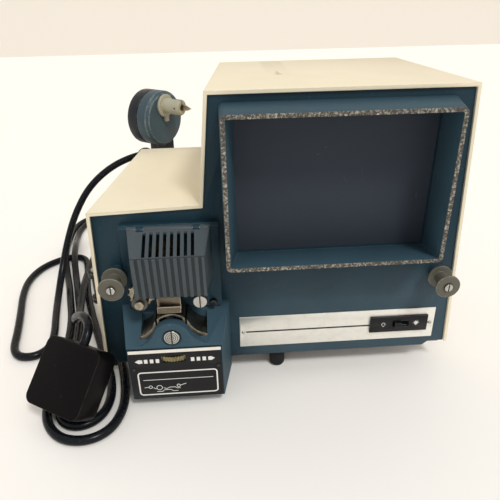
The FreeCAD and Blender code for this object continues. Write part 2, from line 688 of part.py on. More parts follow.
def bell_block(radius, centre_z, end_z, front, rear, low):
    """A block whose top is the bell curve and whose bottom is level."""
    edges = bell_edges(radius, centre_z, end_z, front)
    left = Vector(d.gate_left.number, front, low)
    right = Vector(d.gate_right.number, front, low)
    left_top = Vector(d.gate_left.number, front, end_z)
    right_top = Vector(d.gate_right.number, front, end_z)
    sides = [Part.LineSegment(right_top, right), Part.LineSegment(right, left),
        Part.LineSegment(left, left_top)]
    face = Part.Face(Part.Wire(edges + [side.toShape() for side in sides]))
    return face.extrude(Vector(0, rear - front, 0))


def gate_housing():
    front = d.gate_box_front
    taper = pad("gate_plan", "XY", (
        (d.gate_back_left, 0), (d.gate_back_right, 0), (d.gate_box_right, front), (d.gate_box_left, front)),
        d.gate_box_low, 90)
    side = pad("gate_side", "YZ", (
        (front, d.gate_box_low), (front, d.gate_box_top), (0, d.gate_back_top),
        (0, d.gate_box_low)), -140, 140)
    hump = feature("gate_hump", bell_block(
        d.hump_radius.number, d.hump_z.number, d.hump_end_z.number, front.number,
        front.number + d.hump_front_wall.number, d.gate_floor.number))
    solid = fuse("gate_block", common("gate_wedge", taper, side), hump)
    left = d.gate_box_left + d.gate_wall
    right = d.gate_box_right - d.gate_wall
    inside = front + d.gate_wall
    shelf_top = d.wheel_low - d.wheel_room
    hole = d.barrel_radius + d.running_gap
    wheel_room = d.wheel_radius + d.wheel_room
    pocket_front = front + d.hump_front_wall
    tools = (
        box("gate_low_room", (left, inside, d.gate_box_low + d.gate_wall),
        (right, -d.gate_wall, shelf_top - d.gate_shelf)),
        box("gate_beam_way", (d.beam_left, -10, d.beam_low), (d.beam_right, 1, d.beam_top)),
        box("gate_wheel_room", (left, inside, shelf_top), (right, 1, d.gate_floor_low)),
        cylinder("gate_wheel_window", wheel_room, (d.optic_x, d.optic_y, shelf_top),
                 d.wheel_high + d.wheel_room - shelf_top),
        box("gate_pocket", (d.gate_left, pocket_front, d.gate_floor), (d.gate_right, d.gate_rear, 90)),
        cylinder("gate_shaft_hole", d.prism_shaft_radius + 0.5, (d.optic_x, d.gate_rear - 1, d.prism_z), 8,
        "Y"),
        cylinder("gate_barrel_hole", hole, (d.optic_x, d.optic_y, shelf_top - d.gate_shelf - 1),
                 d.gate_floor - shelf_top + d.gate_shelf + 2),
        cylinder("gate_recess", d.frame_recess_radius, (d.optic_x, front - 1, d.prism_z), d.frame_recess + 1,
        "Y"),
        cylinder("gate_frame_bore", d.frame_shank_radius + d.running_gap, (d.optic_x, front, d.prism_z),
                 d.hump_front_wall + 1, "Y"),
        *[cylinder(f"gate_label_hole_{index}", d.label_screw_pin, (
            (d.label_left + d.label_right) / 2 + way * d.label_screw_x, front - 1, d.label_screw_z), 2.5, "Y")
          for index, way in enumerate((-1, 1))],
    )
    return node("gate_housing", cut("gate_box", solid, *tools))


def focus_plate():
    front = d.gate_box_front - d.plate_sheet
    sheet = pad("label_sheet", "XZ", (
        (d.label_left, d.label_low), (d.label_right, d.label_low), (d.label_right, d.label_top),
        (d.label_left, d.label_top)), front, d.plate_sheet)
    low = d.wheel_low - d.wheel_room
    tools = [cylinder("label_window", d.wheel_radius + d.wheel_room, (d.optic_x, d.optic_y, low),
                      d.wheel_high + d.wheel_room - low)]
    for index, way in enumerate((-1, 1)):
        at = ((d.label_left + d.label_right) / 2 + way * d.label_screw_x, front - 1, d.label_screw_z)
        tools.append(cylinder(f"label_hole_{index}", d.label_screw_pin, at, d.plate_sheet + 2, "Y"))
    return node("focus_plate", cut("label_cut", sheet, *tools))


def film_gate():
    """Two curved wings and the arched centre piece that the film bends over."""
    block = feature("gate_bell", bell_block(
        d.bell_radius.number, d.bell_z.number, d.bell_end_z.number, d.gate_front.number,
        d.gate_rear.number, d.gate_floor.number))
    half = d.gate_half
    low = d.gate_floor - 1
    left = common("gate_left_wing", block, box("left_wing_room", (
        d.gate_left - 1, d.gate_front - 1, low), (d.optic_x - half - d.gate_slot, d.gate_rear + 1, 100)))
    right = common("gate_right_wing", block, box("right_wing_room", (
        d.optic_x + half + d.gate_slot, d.gate_front - 1, low), (d.gate_right + 1, d.gate_rear + 1, 100)))
    centre = common("gate_centre", block, box("centre_room", (
        d.optic_x - half, d.gate_front - 1, low), (d.optic_x + half, d.gate_rear + 1, 100)))
    bore = d.bell_radius - d.gate_leg
    clear = half - d.gate_leg
    arch = cut(
        "gate_arch", centre,
        common("arch_inside",
               box("arch_room", (d.optic_x - clear, d.gate_front - 2, low),
               (d.optic_x + clear, d.gate_rear + 2, 100)),
               fuse("arch_bore",
                    cylinder("arch_round", bore, (d.optic_x, d.gate_front - 2, d.bell_z),
                    d.gate_rear - d.gate_front + 4, "Y"),
                    box("arch_lower", (d.optic_x - clear, d.gate_front - 2, low),
                        (d.optic_x + clear, d.gate_rear + 2, d.bell_z)))),
        cylinder("aperture", d.aperture_radius, (d.optic_x, d.optic_y, d.bell_z), 30))
    return node("film_gate", group("gate_pieces", left, right, arch))


def lens_barrel():
    tube = turned("barrel_tube", (
        (d.barrel_bore, 0), (d.barrel_radius, 0), (d.barrel_radius, d.barrel_top - d.barrel_low),
        (d.barrel_bore, d.barrel_top - d.barrel_low)), (d.optic_x, d.optic_y, d.barrel_low))
    return node("lens_barrel", group("barrel", tube))


def lens_glass():
    """Two lenses, each with one domed side, seated in the barrel's bore."""
    dome = d.lens_thick / 3
    profile = (
        (0, 0), (d.barrel_bore, 0), (d.barrel_bore, d.lens_thick - dome),
        (d.barrel_bore * 0.7, d.lens_thick - 0.4 * dome), (d.barrel_bore * 0.35, d.lens_thick - 0.1 * dome),
        (0, d.lens_thick))
    lenses = [
        turned(f"lens_{index}", profile, (d.optic_x, d.optic_y, low)) for index,
        low in enumerate((d.lens_low, d.lens_high))]
    return node("lens_glass", group("lenses", *lenses))


def star(outer, inner, teeth):
    """A ring of plain points between two radii, for a fluted rim."""
    points = []
    for index in range(4 * teeth):
        radius = outer if index % 4 < 2 else inner
        angle = 2 * math.pi * (index + 0.5) / (4 * teeth)
        points.append(Vector(radius * math.cos(angle), radius * math.sin(angle), 0))
    return Part.Face(Part.makePolygon(points + points[:1]))


def focus_wheel():
    height = d.wheel_high.number - d.wheel_low.number
    rim = star(d.wheel_radius.number, d.wheel_radius.number - d.wheel_tooth.number, int(d.wheel_teeth.number))
    bore = Part.makeCylinder(d.barrel_radius.number + d.running_gap.number, height)
    wheel = feature("wheel_rim", rim.extrude(Vector(0, 0, height)).cut(bore))
    return node("focus_wheel", group("wheel", place(wheel, (d.optic_x, d.optic_y, d.wheel_low))))


# ---------------------------------------------------------------- gears

def gear_face(teeth, module, tip, foot, slim):
    """An involute gear's outline between two radii, each flank thinned by slim."""
    pitch = module * teeth / 2
    base = pitch * math.cos(math.radians(20))
    lean = math.tan(math.radians(20)) - math.radians(20)
    points = []

    def half_angle(radius):
        turn = math.acos(min(1, base / max(radius, base)))
        return math.pi / (2 * teeth) + lean - (math.tan(turn) - turn) - slim / pitch

    flank = [foot, max(foot, base)] if foot < base else [foot]
    flank += [flank[-1] + (tip - flank[-1]) * share for share in (0.35, 0.7, 1)]
    for tooth in range(teeth):
        centre = 2 * math.pi * tooth / teeth
        for radius in flank:
            angle = centre - half_angle(radius)
            points.append(Vector(radius * math.cos(angle), radius * math.sin(angle), 0))
        for radius in reversed(flank):
            angle = centre + half_angle(radius)
            points.append(Vector(radius * math.cos(angle), radius * math.sin(angle), 0))
    return Part.Face(Part.makePolygon(points + points[:1]))


def spur(teeth, module, width, slim, turn=0):
    """A spur gear standing on the plane z = 0."""
    pitch = module * teeth / 2
    face = gear_face(teeth, module, pitch + 0.85 * module, pitch - 1.15 * module, slim)
    face.rotate(Vector(), Vector(0, 0, 1), turn)
    return face.extrude(Vector(0, 0, width))


def to_back(shape, across, depth, up):
    """Lay a shape drawn about +Z along +Y at a point: its X axis stays, its Y axis points down."""
    shape.Placement = Placement(Vector(across, depth, up), TURNS["Y"]).multiply(shape.Placement)
    return shape


def line_angle():
    """The angle of the line from the sprocket to the prism, in the gears' own drawing plane."""
    across = d.optic_x.number - d.sprocket_x.number
    down = sprocket_height().number - d.prism_z.number
    return math.degrees(math.atan2(down, across))


def sprocket_gear():
    angle = line_angle()
    wheel = spur(int(d.gear_teeth.number), d.gear_module.number, d.gear_width.number, d.gear_slim.number,
        angle)
    bore = Part.makeCylinder(d.sprocket_shaft_radius.number, d.gear_width.number)
    shape = to_back(wheel.cut(bore), d.sprocket_x.number, d.gear_low_y.number, sprocket_height().number)
    return node("sprocket_gear", group("drive_wheel", feature("drive_gear", shape)))


def prism_shaft():
    """The end caps of the prism, the front trunnion, and the rear shaft with its pinion."""
    radius = d.prism_shaft_radius
    rear = d.gear_low_y + d.gear_width + d.bridge_gap + d.bridge_thick
    cap = d.cap_thick
    front_cap = turned("front_cap", (
        (0, -cap - d.trunnion_length), (d.trunnion_radius, -cap - d.trunnion_length),
        (d.trunnion_radius, -cap),
        (d.cap_radius, -cap), (d.cap_radius, 0), (0, 0)), (d.optic_x, d.prism_front, d.prism_z), "Y")
    shaft = turned("rear_shaft", (
        (0, 0), (d.cap_radius, 0), (d.cap_radius, cap), (radius, cap), (radius, rear - d.prism_rear),
        (0, rear - d.prism_rear)), (d.optic_x, d.prism_rear, d.prism_z), "Y")
    teeth = int(d.pinion_teeth.number)
    turn = line_angle() + 180 + 180 / teeth
    wheel = spur(teeth, d.gear_module.number, d.gear_width.number, d.gear_slim.number, turn)
    pinion = feature("prism_pinion", to_back(wheel, d.optic_x.number, d.gear_low_y.number, d.prism_z.number))
    return node("prism_shaft", group("prism_ends", front_cap, fuse("shaft_with_pinion", shaft, pinion)))


def prism():
    half = d.prism_side / 2
    return node("prism", box("prism_glass", (
        d.optic_x - half, d.prism_front, d.prism_z - half), (d.optic_x + half, d.prism_rear,
        d.prism_z + half)))


def gear_bridge():
    """The plate behind the gears that carries the far ends of both shafts, on three posts."""
    near = d.gear_low_y + d.gear_width + d.bridge_gap
    high = sprocket_height()
    sheet = pad("bridge_sheet", "XZ", (
        (d.sprocket_x - 16, d.prism_z - 12), (d.optic_x + 16, d.prism_z - 12), (d.optic_x + 16, high + 24),
        (d.optic_x - 2, high + 24), (d.sprocket_x - 16, high - 8)), near, d.bridge_thick)
    corners = (
        (d.sprocket_x - 11, d.prism_z - 7), (d.optic_x + 11, d.prism_z - 7), (d.optic_x + 10, high + 18))
    posts = [
        cylinder(f"bridge_post_{index}", d.post_radius, (across, d.panel_thick, up), near - d.panel_thick,
        "Y")
        for index, (across, up) in enumerate(corners)]
    holes = (
        cylinder("bridge_sprocket", d.sprocket_shaft_radius + d.running_gap, (d.sprocket_x, near - 1, high),
                 d.bridge_thick + 2, "Y"),
        cylinder("bridge_prism", d.prism_shaft_radius + d.running_gap, (d.optic_x, near - 1, d.prism_z),
                 d.bridge_thick + 2, "Y"))
    return node("gear_bridge", cut("bridge", fuse("bridge_frame", sheet, *posts), *holes))


def framing_screw():
    """The slotted screw on the front of the gate box; its shank carries the prism's front trunnion."""
    front = d.gate_box_front + d.frame_recess - d.frame_head - 0.1
    length = d.hump_front_wall - d.frame_recess + 0.4
    head = d.frame_head
    screw = turned("framing_turned", (
        (0, 0), (d.frame_head_radius - 0.4, 0), (d.frame_head_radius, 0.4), (d.frame_head_radius, head),
        (d.frame_shank_radius, head), (d.frame_shank_radius, head + length), (0, head + length)),
        (d.optic_x, front, d.prism_z), "Y")
    slot = box("framing_slot", (
        d.optic_x - d.frame_slot / 2, front - 1, d.prism_z - 10), (d.optic_x + d.frame_slot / 2, front + 0.6,
        d.prism_z + 10))
    socket = cylinder("framing_socket", d.trunnion_radius + d.running_gap, (
        d.optic_x, d.prism_front - d.cap_thick - d.trunnion_length - 0.3, d.prism_z), 8, "Y")
    return node("framing_screw", cut("framing", screw, slot, socket))


# ---------------------------------------------------------------- film path

def film_sprocket():
    """The film drum with its shaft: one row of teeth, because the film is pierced along one edge only."""
    rear = d.gear_low_y + d.gear_width + d.bridge_gap + d.bridge_thick
    start = d.sprocket_cap
    hub_from = d.sprocket_front - start
    hub_to = d.sprocket_rear - start
    shaft = d.sprocket_shaft_radius
    profile = (
        (0, 0), (d.cap_end_radius - 0.5, 0), (d.cap_end_radius, 0.5), (d.cap_end_radius, hub_from),
        (d.sprocket_hub, hub_from), (d.sprocket_hub, hub_to - d.tooth_ring),
        (d.flange_ring, hub_to - d.tooth_ring),
        (d.flange_ring, hub_to), (shaft, hub_to), (shaft, rear - start), (0, rear - start))
    high = sprocket_height()
    drum = turned("drum", profile, (d.sprocket_x, start, high), "Y")
    teeth = int(d.sprocket_teeth.number)
    base = d.sprocket_radius.number
    tip = base + d.tooth_height.number
    half = d.tooth_width.number / 2 / base
    points = []
    for tooth in range(teeth):
        centre = 2 * math.pi * tooth / teeth
        for radius, angle in ((base, -half), (tip, -0.45 * half), (tip, 0.45 * half), (base, half)):
            points.append(Vector(radius * math.cos(centre + angle), radius * math.sin(centre + angle), 0))
    ring = Part.Face(Part.makePolygon(points + points[:1])).extrude(Vector(0, 0, d.tooth_ring.number))
    row = feature("tooth_ring", to_back(ring, d.sprocket_x.number, d.tooth_row.number, high.number))
    return node("film_sprocket", fuse("sprocket_solid", drum, row))


def film_roller(side, across, up):
    length = d.roller_rear - d.roller_front
    bore = d.stud_radius + d.stud_gap
    flange = d.roller_flange_thick
    roller = turned(side + "_roller_turned", (
        (bore, 0), (d.roller_flange - 0.3, 0), (d.roller_flange, 0.3), (d.roller_flange, flange),
        (d.roller_hub, flange), (d.roller_hub, length - flange), (d.roller_flange, length - flange),
        (d.roller_flange, length), (bore + 1.5, length), (bore + 1.5, length + d.roller_spacer),
        (bore, length + d.roller_spacer)), (across, d.roller_front, up), "Y")
    return node(side + "_film_roller", group(side + "_roller", roller))


def guide_roller():
    rear = -d.plinth_thick - 0.2
    bore = d.stud_radius + d.stud_gap
    roller = turned("guide_turned", (
        (bore, 0), (d.guide_radius, 0), (d.guide_radius, rear - d.guide_front), (bore, rear - d.guide_front)),
        (d.guide_x, d.guide_front, d.guide_z), "Y")
    return node("guide_roller", group("guide", roller))


def slotted_stud(name, across, up, front, head_radius, head):
    """A slotted stud from the front of a roller to the back of the panel."""
    stud = turned(name, (
        (0, 0), (head_radius - 0.4, 0), (head_radius, 0.4), (head_radius, head), (d.stud_radius, head),
        (d.stud_radius, d.stud_rear - front + head), (0, d.stud_rear - front + head)), (across, front - head,
        up), "Y")
    slot = box(name + "_slot", (across - 0.4, front - head - 1, up - 6),
        (across + 0.4, front - head + 0.5, up + 6))
    return cut(name + "_cut", stud, slot)


def film_studs():
    front = d.roller_front - 0.1
    studs = (
        slotted_stud("left_stud", d.roller_left_x, d.roller_left_z, front, d.stud_head_radius, d.stud_head),
        slotted_stud("right_stud", d.roller_right_x, d.roller_right_z, front, d.stud_head_radius,
        d.stud_head),
        slotted_stud("guide_stud", d.guide_x, d.guide_z, d.guide_front - 0.1, d.guide_head_radius,
        d.stud_head),
    )
    return node("film_studs", group("studs", *studs))


# ---------------------------------------------------------------- lamp

def lamp_plinth():
    bevel = d.plinth_bevel
    plate = pad("plinth_sheet", "YZ", (
        (0, d.plinth_low), (-d.plinth_thick, d.plinth_low), (-d.plinth_thick, d.plinth_top - bevel),
        (bevel - d.plinth_thick, d.plinth_top),
        (0, d.plinth_top)), d.plinth_left, d.plinth_right - d.plinth_left)
    lugs = []
    for side, start in (("left", d.lug_left_x), ("right", d.lug_right_x)):
        lugs.append(box(side + "_lug_root", (start, d.hinge_y, d.hinge_z - d.hinge_knuckle),
                        (start + d.lug_width, 1 - d.plinth_thick, d.plinth_top - bevel)))
        lugs.append(cylinder(side + "_lug_eye", d.hinge_knuckle, (start, d.hinge_y, d.hinge_z), d.lug_width,
            "X"))
    through = -d.plinth_thick - 1
    far = d.plinth_thick + 2
    holes = (
        cylinder("plinth_pin_hole", d.hinge_radius, (d.house_back_left - 5, d.hinge_y, d.hinge_z), 70, "X"),
        cylinder("plinth_sprocket", d.sprocket_shaft_radius + d.running_gap,
        (d.sprocket_x, through, sprocket_height()), far, "Y"),
        cylinder("plinth_guide", d.stud_radius, (d.guide_x, through, d.guide_z), far, "Y"),
        cylinder("plinth_marker", d.marker_radius + d.marker_gap, (d.marker_x, through, d.marker_z), far,
        "Y"),
    )
    return node("lamp_plinth", cut("plinth", fuse("plinth_block", plate, *lugs), *holes))


def lamp_house():
    """The slotted cover of the lamp: a folded shell that tapers to the front and hinges at its top edge."""
    slope = (d.house_top - d.house_fold_z) / (d.house_top_back - d.house_fold_y)
    wall = d.house_wall
    outer_side = pad("house_side", "YZ", (
        (d.house_top_back, d.house_top), (d.house_fold_y, d.house_fold_z), (d.house_low_y, d.house_low),
        (d.house_back, d.house_low), (d.house_back, d.house_top - 5),
        (d.house_top_back, d.house_top - 3)), -120, 110)
    outer_plan = pad("house_plan", "XY", (
        (d.house_back_left, d.house_back), (d.house_back_right, d.house_back),
        (d.house_front_right, d.house_fold_y), (d.house_front_left, d.house_fold_y)), 70, 80)
    drop = wall * 1.13
    inner_front = d.house_fold_y + wall
    inner_fold = d.house_top - slope * (d.house_top_back - inner_front) - drop
    inner_side = pad("house_inside", "YZ", (
        (0, d.house_top + slope * -d.house_top_back - drop), (inner_front, inner_fold),
        (d.house_low_y + wall, d.house_low - 2), (0, d.house_low - 2)), -120, 110)
    inner_plan = pad("house_inside_plan", "XY", (
        (d.house_back_left + wall, 0), (d.house_back_right - wall, 0),
        (d.house_front_right - wall, d.house_fold_y), (d.house_front_left + wall, d.house_fold_y)), 70, 80)
    barrel = common(
        "house_barrel",
        cylinder("barrel_rod", d.hinge_knuckle, (-120, d.hinge_y, d.hinge_z), 110, "X"), hinge_plan())
    skin = fuse(
        "house_skin",
        cut("house_hollow", common("house_outer", outer_side, outer_plan),
        common("house_inner", inner_side, inner_plan)),
        barrel)
    tools = [
        cylinder("house_bore", d.hinge_radius + d.hinge_gap, (-120, d.hinge_y, d.hinge_z), 110, "X"),
        box("house_under", (-120, d.house_low_y + wall, d.house_low - 1), (-30, 0, d.house_side_low)),
    ]
    for side, start in (("left", d.lug_left_x), ("right", d.lug_right_x)):
        tools.append(box(side + "_lug_notch",
            (start - d.lug_gap, d.hinge_y - d.hinge_knuckle - 0.6, d.hinge_z - 4),
                         (start + d.lug_width + d.lug_gap, 0, d.hinge_z + 6)))
    lean = math.degrees(math.atan2(
        d.house_low_y.number - d.house_fold_y.number, d.house_fold_z.number - d.house_low.number))
    for index in range(int(d.slot_count.number)):
        middle = d.slot_first_x + index * d.slot_pitch - d.slot_width / 2
        tools.append(box(f"slot_{index}", (middle, d.slot_front, d.house_fold_z - 8),
                         (middle + d.slot_width, d.slot_back, d.house_top + 2)))
    for index in range(int(d.slot_count.number) + 2):
        middle = d.slot_first_x + (index - 1) * d.slot_pitch - d.slot_width / 2
        flute = box(f"flute_{index}", (middle, d.house_fold_y - 5 + d.flute_depth, d.house_fold_z - 40),
                    (middle + d.slot_width, d.house_fold_y + d.flute_depth, d.house_fold_z + 6))
        flute.Placement = Placement(
            Vector(middle.number, 0, 0), Rotation()).multiply(Placement(
                Vector(0, d.house_fold_y.number, d.house_fold_z.number),
                Rotation(Vector(1, 0, 0), lean))).multiply(
                    Placement(Vector(0, d.flute_depth.number - 5, -40), Rotation()))
        for axis in "yz":
            flute.setExpression("Placement.Base." + axis, None)
        tools.append(flute)
    return node("lamp_house", cut("house", skin, *tools))


def hinge_plan():
    """The plan of the lamp house at the height of its hinge, which trims the hinge's barrel."""
    return pad("barrel_plan", "XY", (
        (d.house_back_left, 0), (d.house_back_right, 0), (d.house_front_right, d.house_fold_y),
        (d.house_front_left, d.house_fold_y)), 100, 40)


def pressure_plate():
    """A bent chrome strip inside the lamp house that holds the film down on the gate."""
    wall = d.house_wall
    lean = (d.house_low_y - d.house_fold_y) / (d.house_fold_z - d.house_low)

    def inner(up):
        return d.house_fold_y + wall + lean * (d.house_fold_z - up)

    thick = d.press_thick
    foot = d.press_z + thick
    lip = foot + d.press_lip
    upright = inner(d.house_low)
    strip = pad("press_strip", "YZ", (
        (inner(d.press_top), d.press_top), (upright, d.house_low), (upright, foot), (d.press_front, foot),
        (d.press_front, lip), (d.press_front - thick, lip), (d.press_front - thick, d.press_z),
        (d.press_rear, d.press_z), (d.press_rear, foot), (upright + thick, foot),
        (upright + thick, d.house_low),
        (inner(d.press_top) + thick, d.press_top)), d.press_left, d.press_right - d.press_left)
    return node("pressure_plate", strip)


def hinge_pins():
    """The lamp house's long pin and the two swivel pins of the rewind arms."""
    lamp = cylinder("lamp_pin", d.hinge_radius, (
        d.house_back_left + 1, d.hinge_y, d.hinge_z), d.house_back_right - d.house_back_left - 2, "X")
    low = d.arm_low - d.lug_space - d.lug_thick
    high = d.arm_low + d.arm_height + d.lug_space + d.lug_thick
    pins = [
        turned(side + "_swivel_pin", (
            (0, -1), (d.swivel_pin, -1), (d.swivel_pin, high - low), (d.swivel_head, high - low),
            (d.swivel_head, high - low + 1), (d.swivel_head - 0.6, high - low + 1.8), (0, high - low + 1.8)),
            (way * d.swivel_x, d.swivel_y, low))
        for side, way in (("left", -1), ("right", 1))]
    return node("hinge_pins", group("pins", lamp, *pins))


def lamp_socket():
    collar = cylinder("socket_collar", d.socket_radius, (d.optic_x, d.optic_y, d.socket_low),
        d.socket_high - d.socket_low)
    arm = box("socket_arm_bar", (d.optic_x - d.socket_arm, d.optic_y, d.socket_low), (
        d.optic_x + d.socket_arm, -d.plinth_thick, d.socket_high))
    bore = cylinder("socket_bore", d.bulb_neck, (d.optic_x, d.optic_y, d.socket_low - 1), 6)
    return node("lamp_socket", cut("socket", fuse("socket_block", collar, arm), bore))


def lamp_bulb():
    globe = DOC.addObject("Part::Sphere", "bulb_globe")
    drive(globe, "Radius", d.bulb_radius)
    place(globe, (d.optic_x, d.optic_y, d.bulb_z))
    neck = cylinder("bulb_neck_rod", d.bulb_neck, (d.optic_x, d.optic_y, d.bulb_z),
        d.socket_low + 5 - d.bulb_z)
    return node("lamp_bulb", fuse("bulb", globe, neck))


def reflector():
    """A brass half cylinder behind the bulb, cut out round the socket's arm."""
    height = d.reflector_high - d.reflector_low
    outer = d.reflector_radius
    tube = turned("reflector_tube", (
        (outer - d.reflector_sheet, 0), (outer, 0), (outer, height), (outer - d.reflector_sheet, height)),
        (d.optic_x, d.optic_y, d.reflector_low))
    front = box("reflector_front", (d.optic_x - 20, d.optic_y - 20, 0), (d.optic_x + 20, d.optic_y, 200))
    notch = box("reflector_notch", (d.optic_x - d.socket_arm - 0.3, d.optic_y, d.socket_low - 0.3), (
        d.optic_x + d.socket_arm + 0.3, 0, d.socket_high + 0.3))
    tab = box("reflector_tab", (d.optic_x - 3, d.optic_y + outer - 0.4, d.reflector_low), (
        d.optic_x + 3, -d.plinth_thick, d.reflector_low + 8))
    return node("reflector", cut("reflector_sheet_cut", fuse("reflector_body", tube, tab), front, notch))


def marker_button():
    front = d.marker_front
    back = d.panel_thick
    button = turned("marker_turned", (
        (0, 0), (d.marker_radius - 0.5, 0), (d.marker_radius, 0.5), (d.marker_radius, back - front),
        (d.marker_flange, back - front), (d.marker_flange, back - front + d.marker_flange_thick),
        (0, back - front + d.marker_flange_thick)), (d.marker_x, front, d.marker_z), "Y")
    return node("marker_button", group("marker", button))


# ---------------------------------------------------------------- nameplate and switch

def nameplate():
    sheet = pad("name_sheet", "XZ", (
        (d.name_left, d.name_low), (d.name_right, d.name_low), (d.name_right, d.name_top),
        (d.name_left, d.name_top)), -d.name_thick, d.name_thick)
    holes = [box("name_switch_hole", (d.switch_slot_left, -2, d.switch_z - d.switch_slot_height / 2),
                 (d.switch_slot_right, 2, d.switch_z + d.switch_slot_height / 2))]
    for side, across in (("left", d.rivet_left_x), ("right", d.rivet_right_x)):
        holes.append(cylinder("name_rivet_" + side, d.rivet_radius / 2, (across, -2, d.rivet_z), 4, "Y"))
    return node("nameplate", cut("name_cut", sheet, *holes))


def switch_bezel():
    front = -d.name_thick - d.bezel_thick
    plate = pad("bezel_sheet", "XZ", (
        (d.bezel_left, d.bezel_low), (d.bezel_right, d.bezel_low), (d.bezel_right, d.bezel_top),
        (d.bezel_left, d.bezel_top)), front, d.bezel_thick)
    slot = box("bezel_slot", (d.switch_slot_left, front - 1, d.switch_z - d.switch_slot_height / 2),
               (d.switch_slot_right, 0, d.switch_z + d.switch_slot_height / 2))
    return node("switch_bezel", cut("bezel_cut", plate, slot))


def switch_slider():
    """The sliding knob, its stem through the panel and the carriage inside the switch."""
    face = -d.name_thick - d.bezel_thick
    half = d.knob_width / 2
    tall = d.knob_height / 2
    carriage = d.panel_thick + 1
    knob = box("slider_knob", (d.switch_x - half, face - d.knob_proud, d.switch_z - tall),
               (d.switch_x + half, carriage, d.switch_z + tall))
    rear = box("slider_carriage", (d.switch_x - half, carriage, d.switch_z - tall - 0.5),
               (d.switch_x + half, carriage + d.switch_flange, d.switch_z + tall + 0.5))
    return node("switch_slider", fuse("slider", knob, rear))


def switch_body():
    block = box("switch_block", (d.switch_body_left, d.panel_thick, d.switch_body_low),
                (d.switch_body_right, d.panel_thick + d.switch_body_deep, d.switch_body_top))
    room = box("switch_hollow", (d.switch_slot_left, d.panel_thick - 1, d.switch_z - d.switch_room / 2),
               (d.switch_slot_right, d.panel_thick + 1 + d.switch_flange + 0.3,
               d.switch_z + d.switch_room / 2))
    return node("switch_body", cut("switch_case", block, room))


def transformer():
    """The laminated core, with its two windows, and the coil on the middle limb."""
    low = d.shell_foot
    high = low + d.core_height
    limb = d.core_limb
    middle = (d.core_left + d.core_right) / 2
    window_low = low + limb
    window_high = high - limb
    back = rear(d.core_from_back)
    front = back - d.core_thick
    core = box("core_block", (d.core_left, front, low), (d.core_right, back, high))
    rooms = (
        box("core_window_left", (d.core_left + limb, 0, window_low), (middle - limb, 200, window_high)),
        box("core_window_right", (middle + limb, 0, window_low), (d.core_right - limb, 200, window_high)))
    gap = d.coil_gap
    winding = box("coil_block", (d.core_left + limb + gap, front - d.coil_overhang, window_low + gap),
                  (d.core_right - limb - gap, back + d.coil_overhang, window_high - gap))
    middle_limb = box("coil_core", (middle - limb, front, low), (middle + limb, back, high))
    return node("transformer", group(
        "mains_coil", cut("laminations", core, *rooms), cut("winding", winding, middle_limb)))


# ---------------------------------------------------------------- cord

# The free cord's route, from the end of the boot: round the back, down to the table, along the left side
# and into the hank. Each point is (x, distance behind the panel face, height of the cord's middle).
CORD_ROUTE = (
    (-48, 142.5, 112), (-49, 170, 113), (-70, 192, 115), (-102, 193, 116), (-134, 183, 110), (-161, 173, 92),
    (-179, 166, 65), (-189, 154, 38), (-194, 136, 14), (-193, 112, 3.2), (-187, 82, 3.2), (-181, 56, 3.2),
    (-180, 38, 3.2), (-188, 28, 3.2), (-201, 28, 3.2), (-209, 38, 3.2), (-213, 60, 3.2), (-220, 90, 3.2),
    (-228, 121, 3.2), (-231, 150, 3.2), (-223, 176, 3.2), (-202, 193, 3.2),
)

# The hank's middle line on the table, from its rear end to its front end, with its half width there.
HANK_LINE = (
    (-192, 284, 17), (-188, 230, 18), (-182, 176, 18), (-170, 122, 16), (-151, 72, 18), (-142, 22, 24),
    (-140, -14, 28.5), (-139, -36, 28),
)

# The lead from the plug, over the back of the hank and down onto it.
PLUG_LEAD = (
    (-133.81, -16.75, 46.64), (-131, -12.1, 52.3), (-131.8, -3.5, 55.5), (-138.5, 7, 54.5), (-147.5, 20, 45),
    (-155, 37, 30), (-160, 56, 16.5), (-163.5, 76, 10.4),
)


def tube_along(points, radius):
    """A round tube of straight runs joined by tangent arcs, each as large as its two runs allow."""
    vectors = [Vector(*point) for point in points]
    edges = []
    radii = []
    start = vectors[0]
    for before, here, after in zip(vectors, vectors[1:], vectors[2:]):
        back = (before - here).normalize()
        ahead = (after - here).normalize()
        shorter = min(before.distanceToPoint(here), here.distanceToPoint(after))
        leg = 0.45 * shorter
        half_turn = (math.pi - back.getAngle(ahead)) / 2
        arc_radius = leg / math.tan(half_turn)
        radii.append(round(arc_radius, 1))
        first = here + back * leg
        last = here + ahead * leg
        inward = (back + ahead).normalize()
        centre = here + inward * math.hypot(arc_radius, leg)
        middle = centre - inward * arc_radius
        edges.append(Part.LineSegment(start, first).toShape())
        edges.append(Part.Arc(first, middle, last).toShape())
        start = last
    edges.append(Part.LineSegment(start, vectors[-1]).toShape())
    path = Part.Wire(edges)
    section = Part.Wire(Part.Circle(vectors[0], vectors[1] - vectors[0], radius).toShape())
    tube = path.makePipeShell([section], True, True)
    length = path.Length
    print("cord radii", radii, "length", round(length, 1), "volume ratio",
          round(tube.Volume / (math.pi * radius * radius * length), 4))
    return tube


def power_cord():
    """The free cord from the boot to the hank, and the short lead from the plug to the hank."""
    radius = d.cord_radius.number
    lead = feature("plug_lead", tube_along(PLUG_LEAD, radius))
    return node("power_cord", group("cord_tubes", feature("cord_tube", tube_along(CORD_ROUTE, radius)), lead))


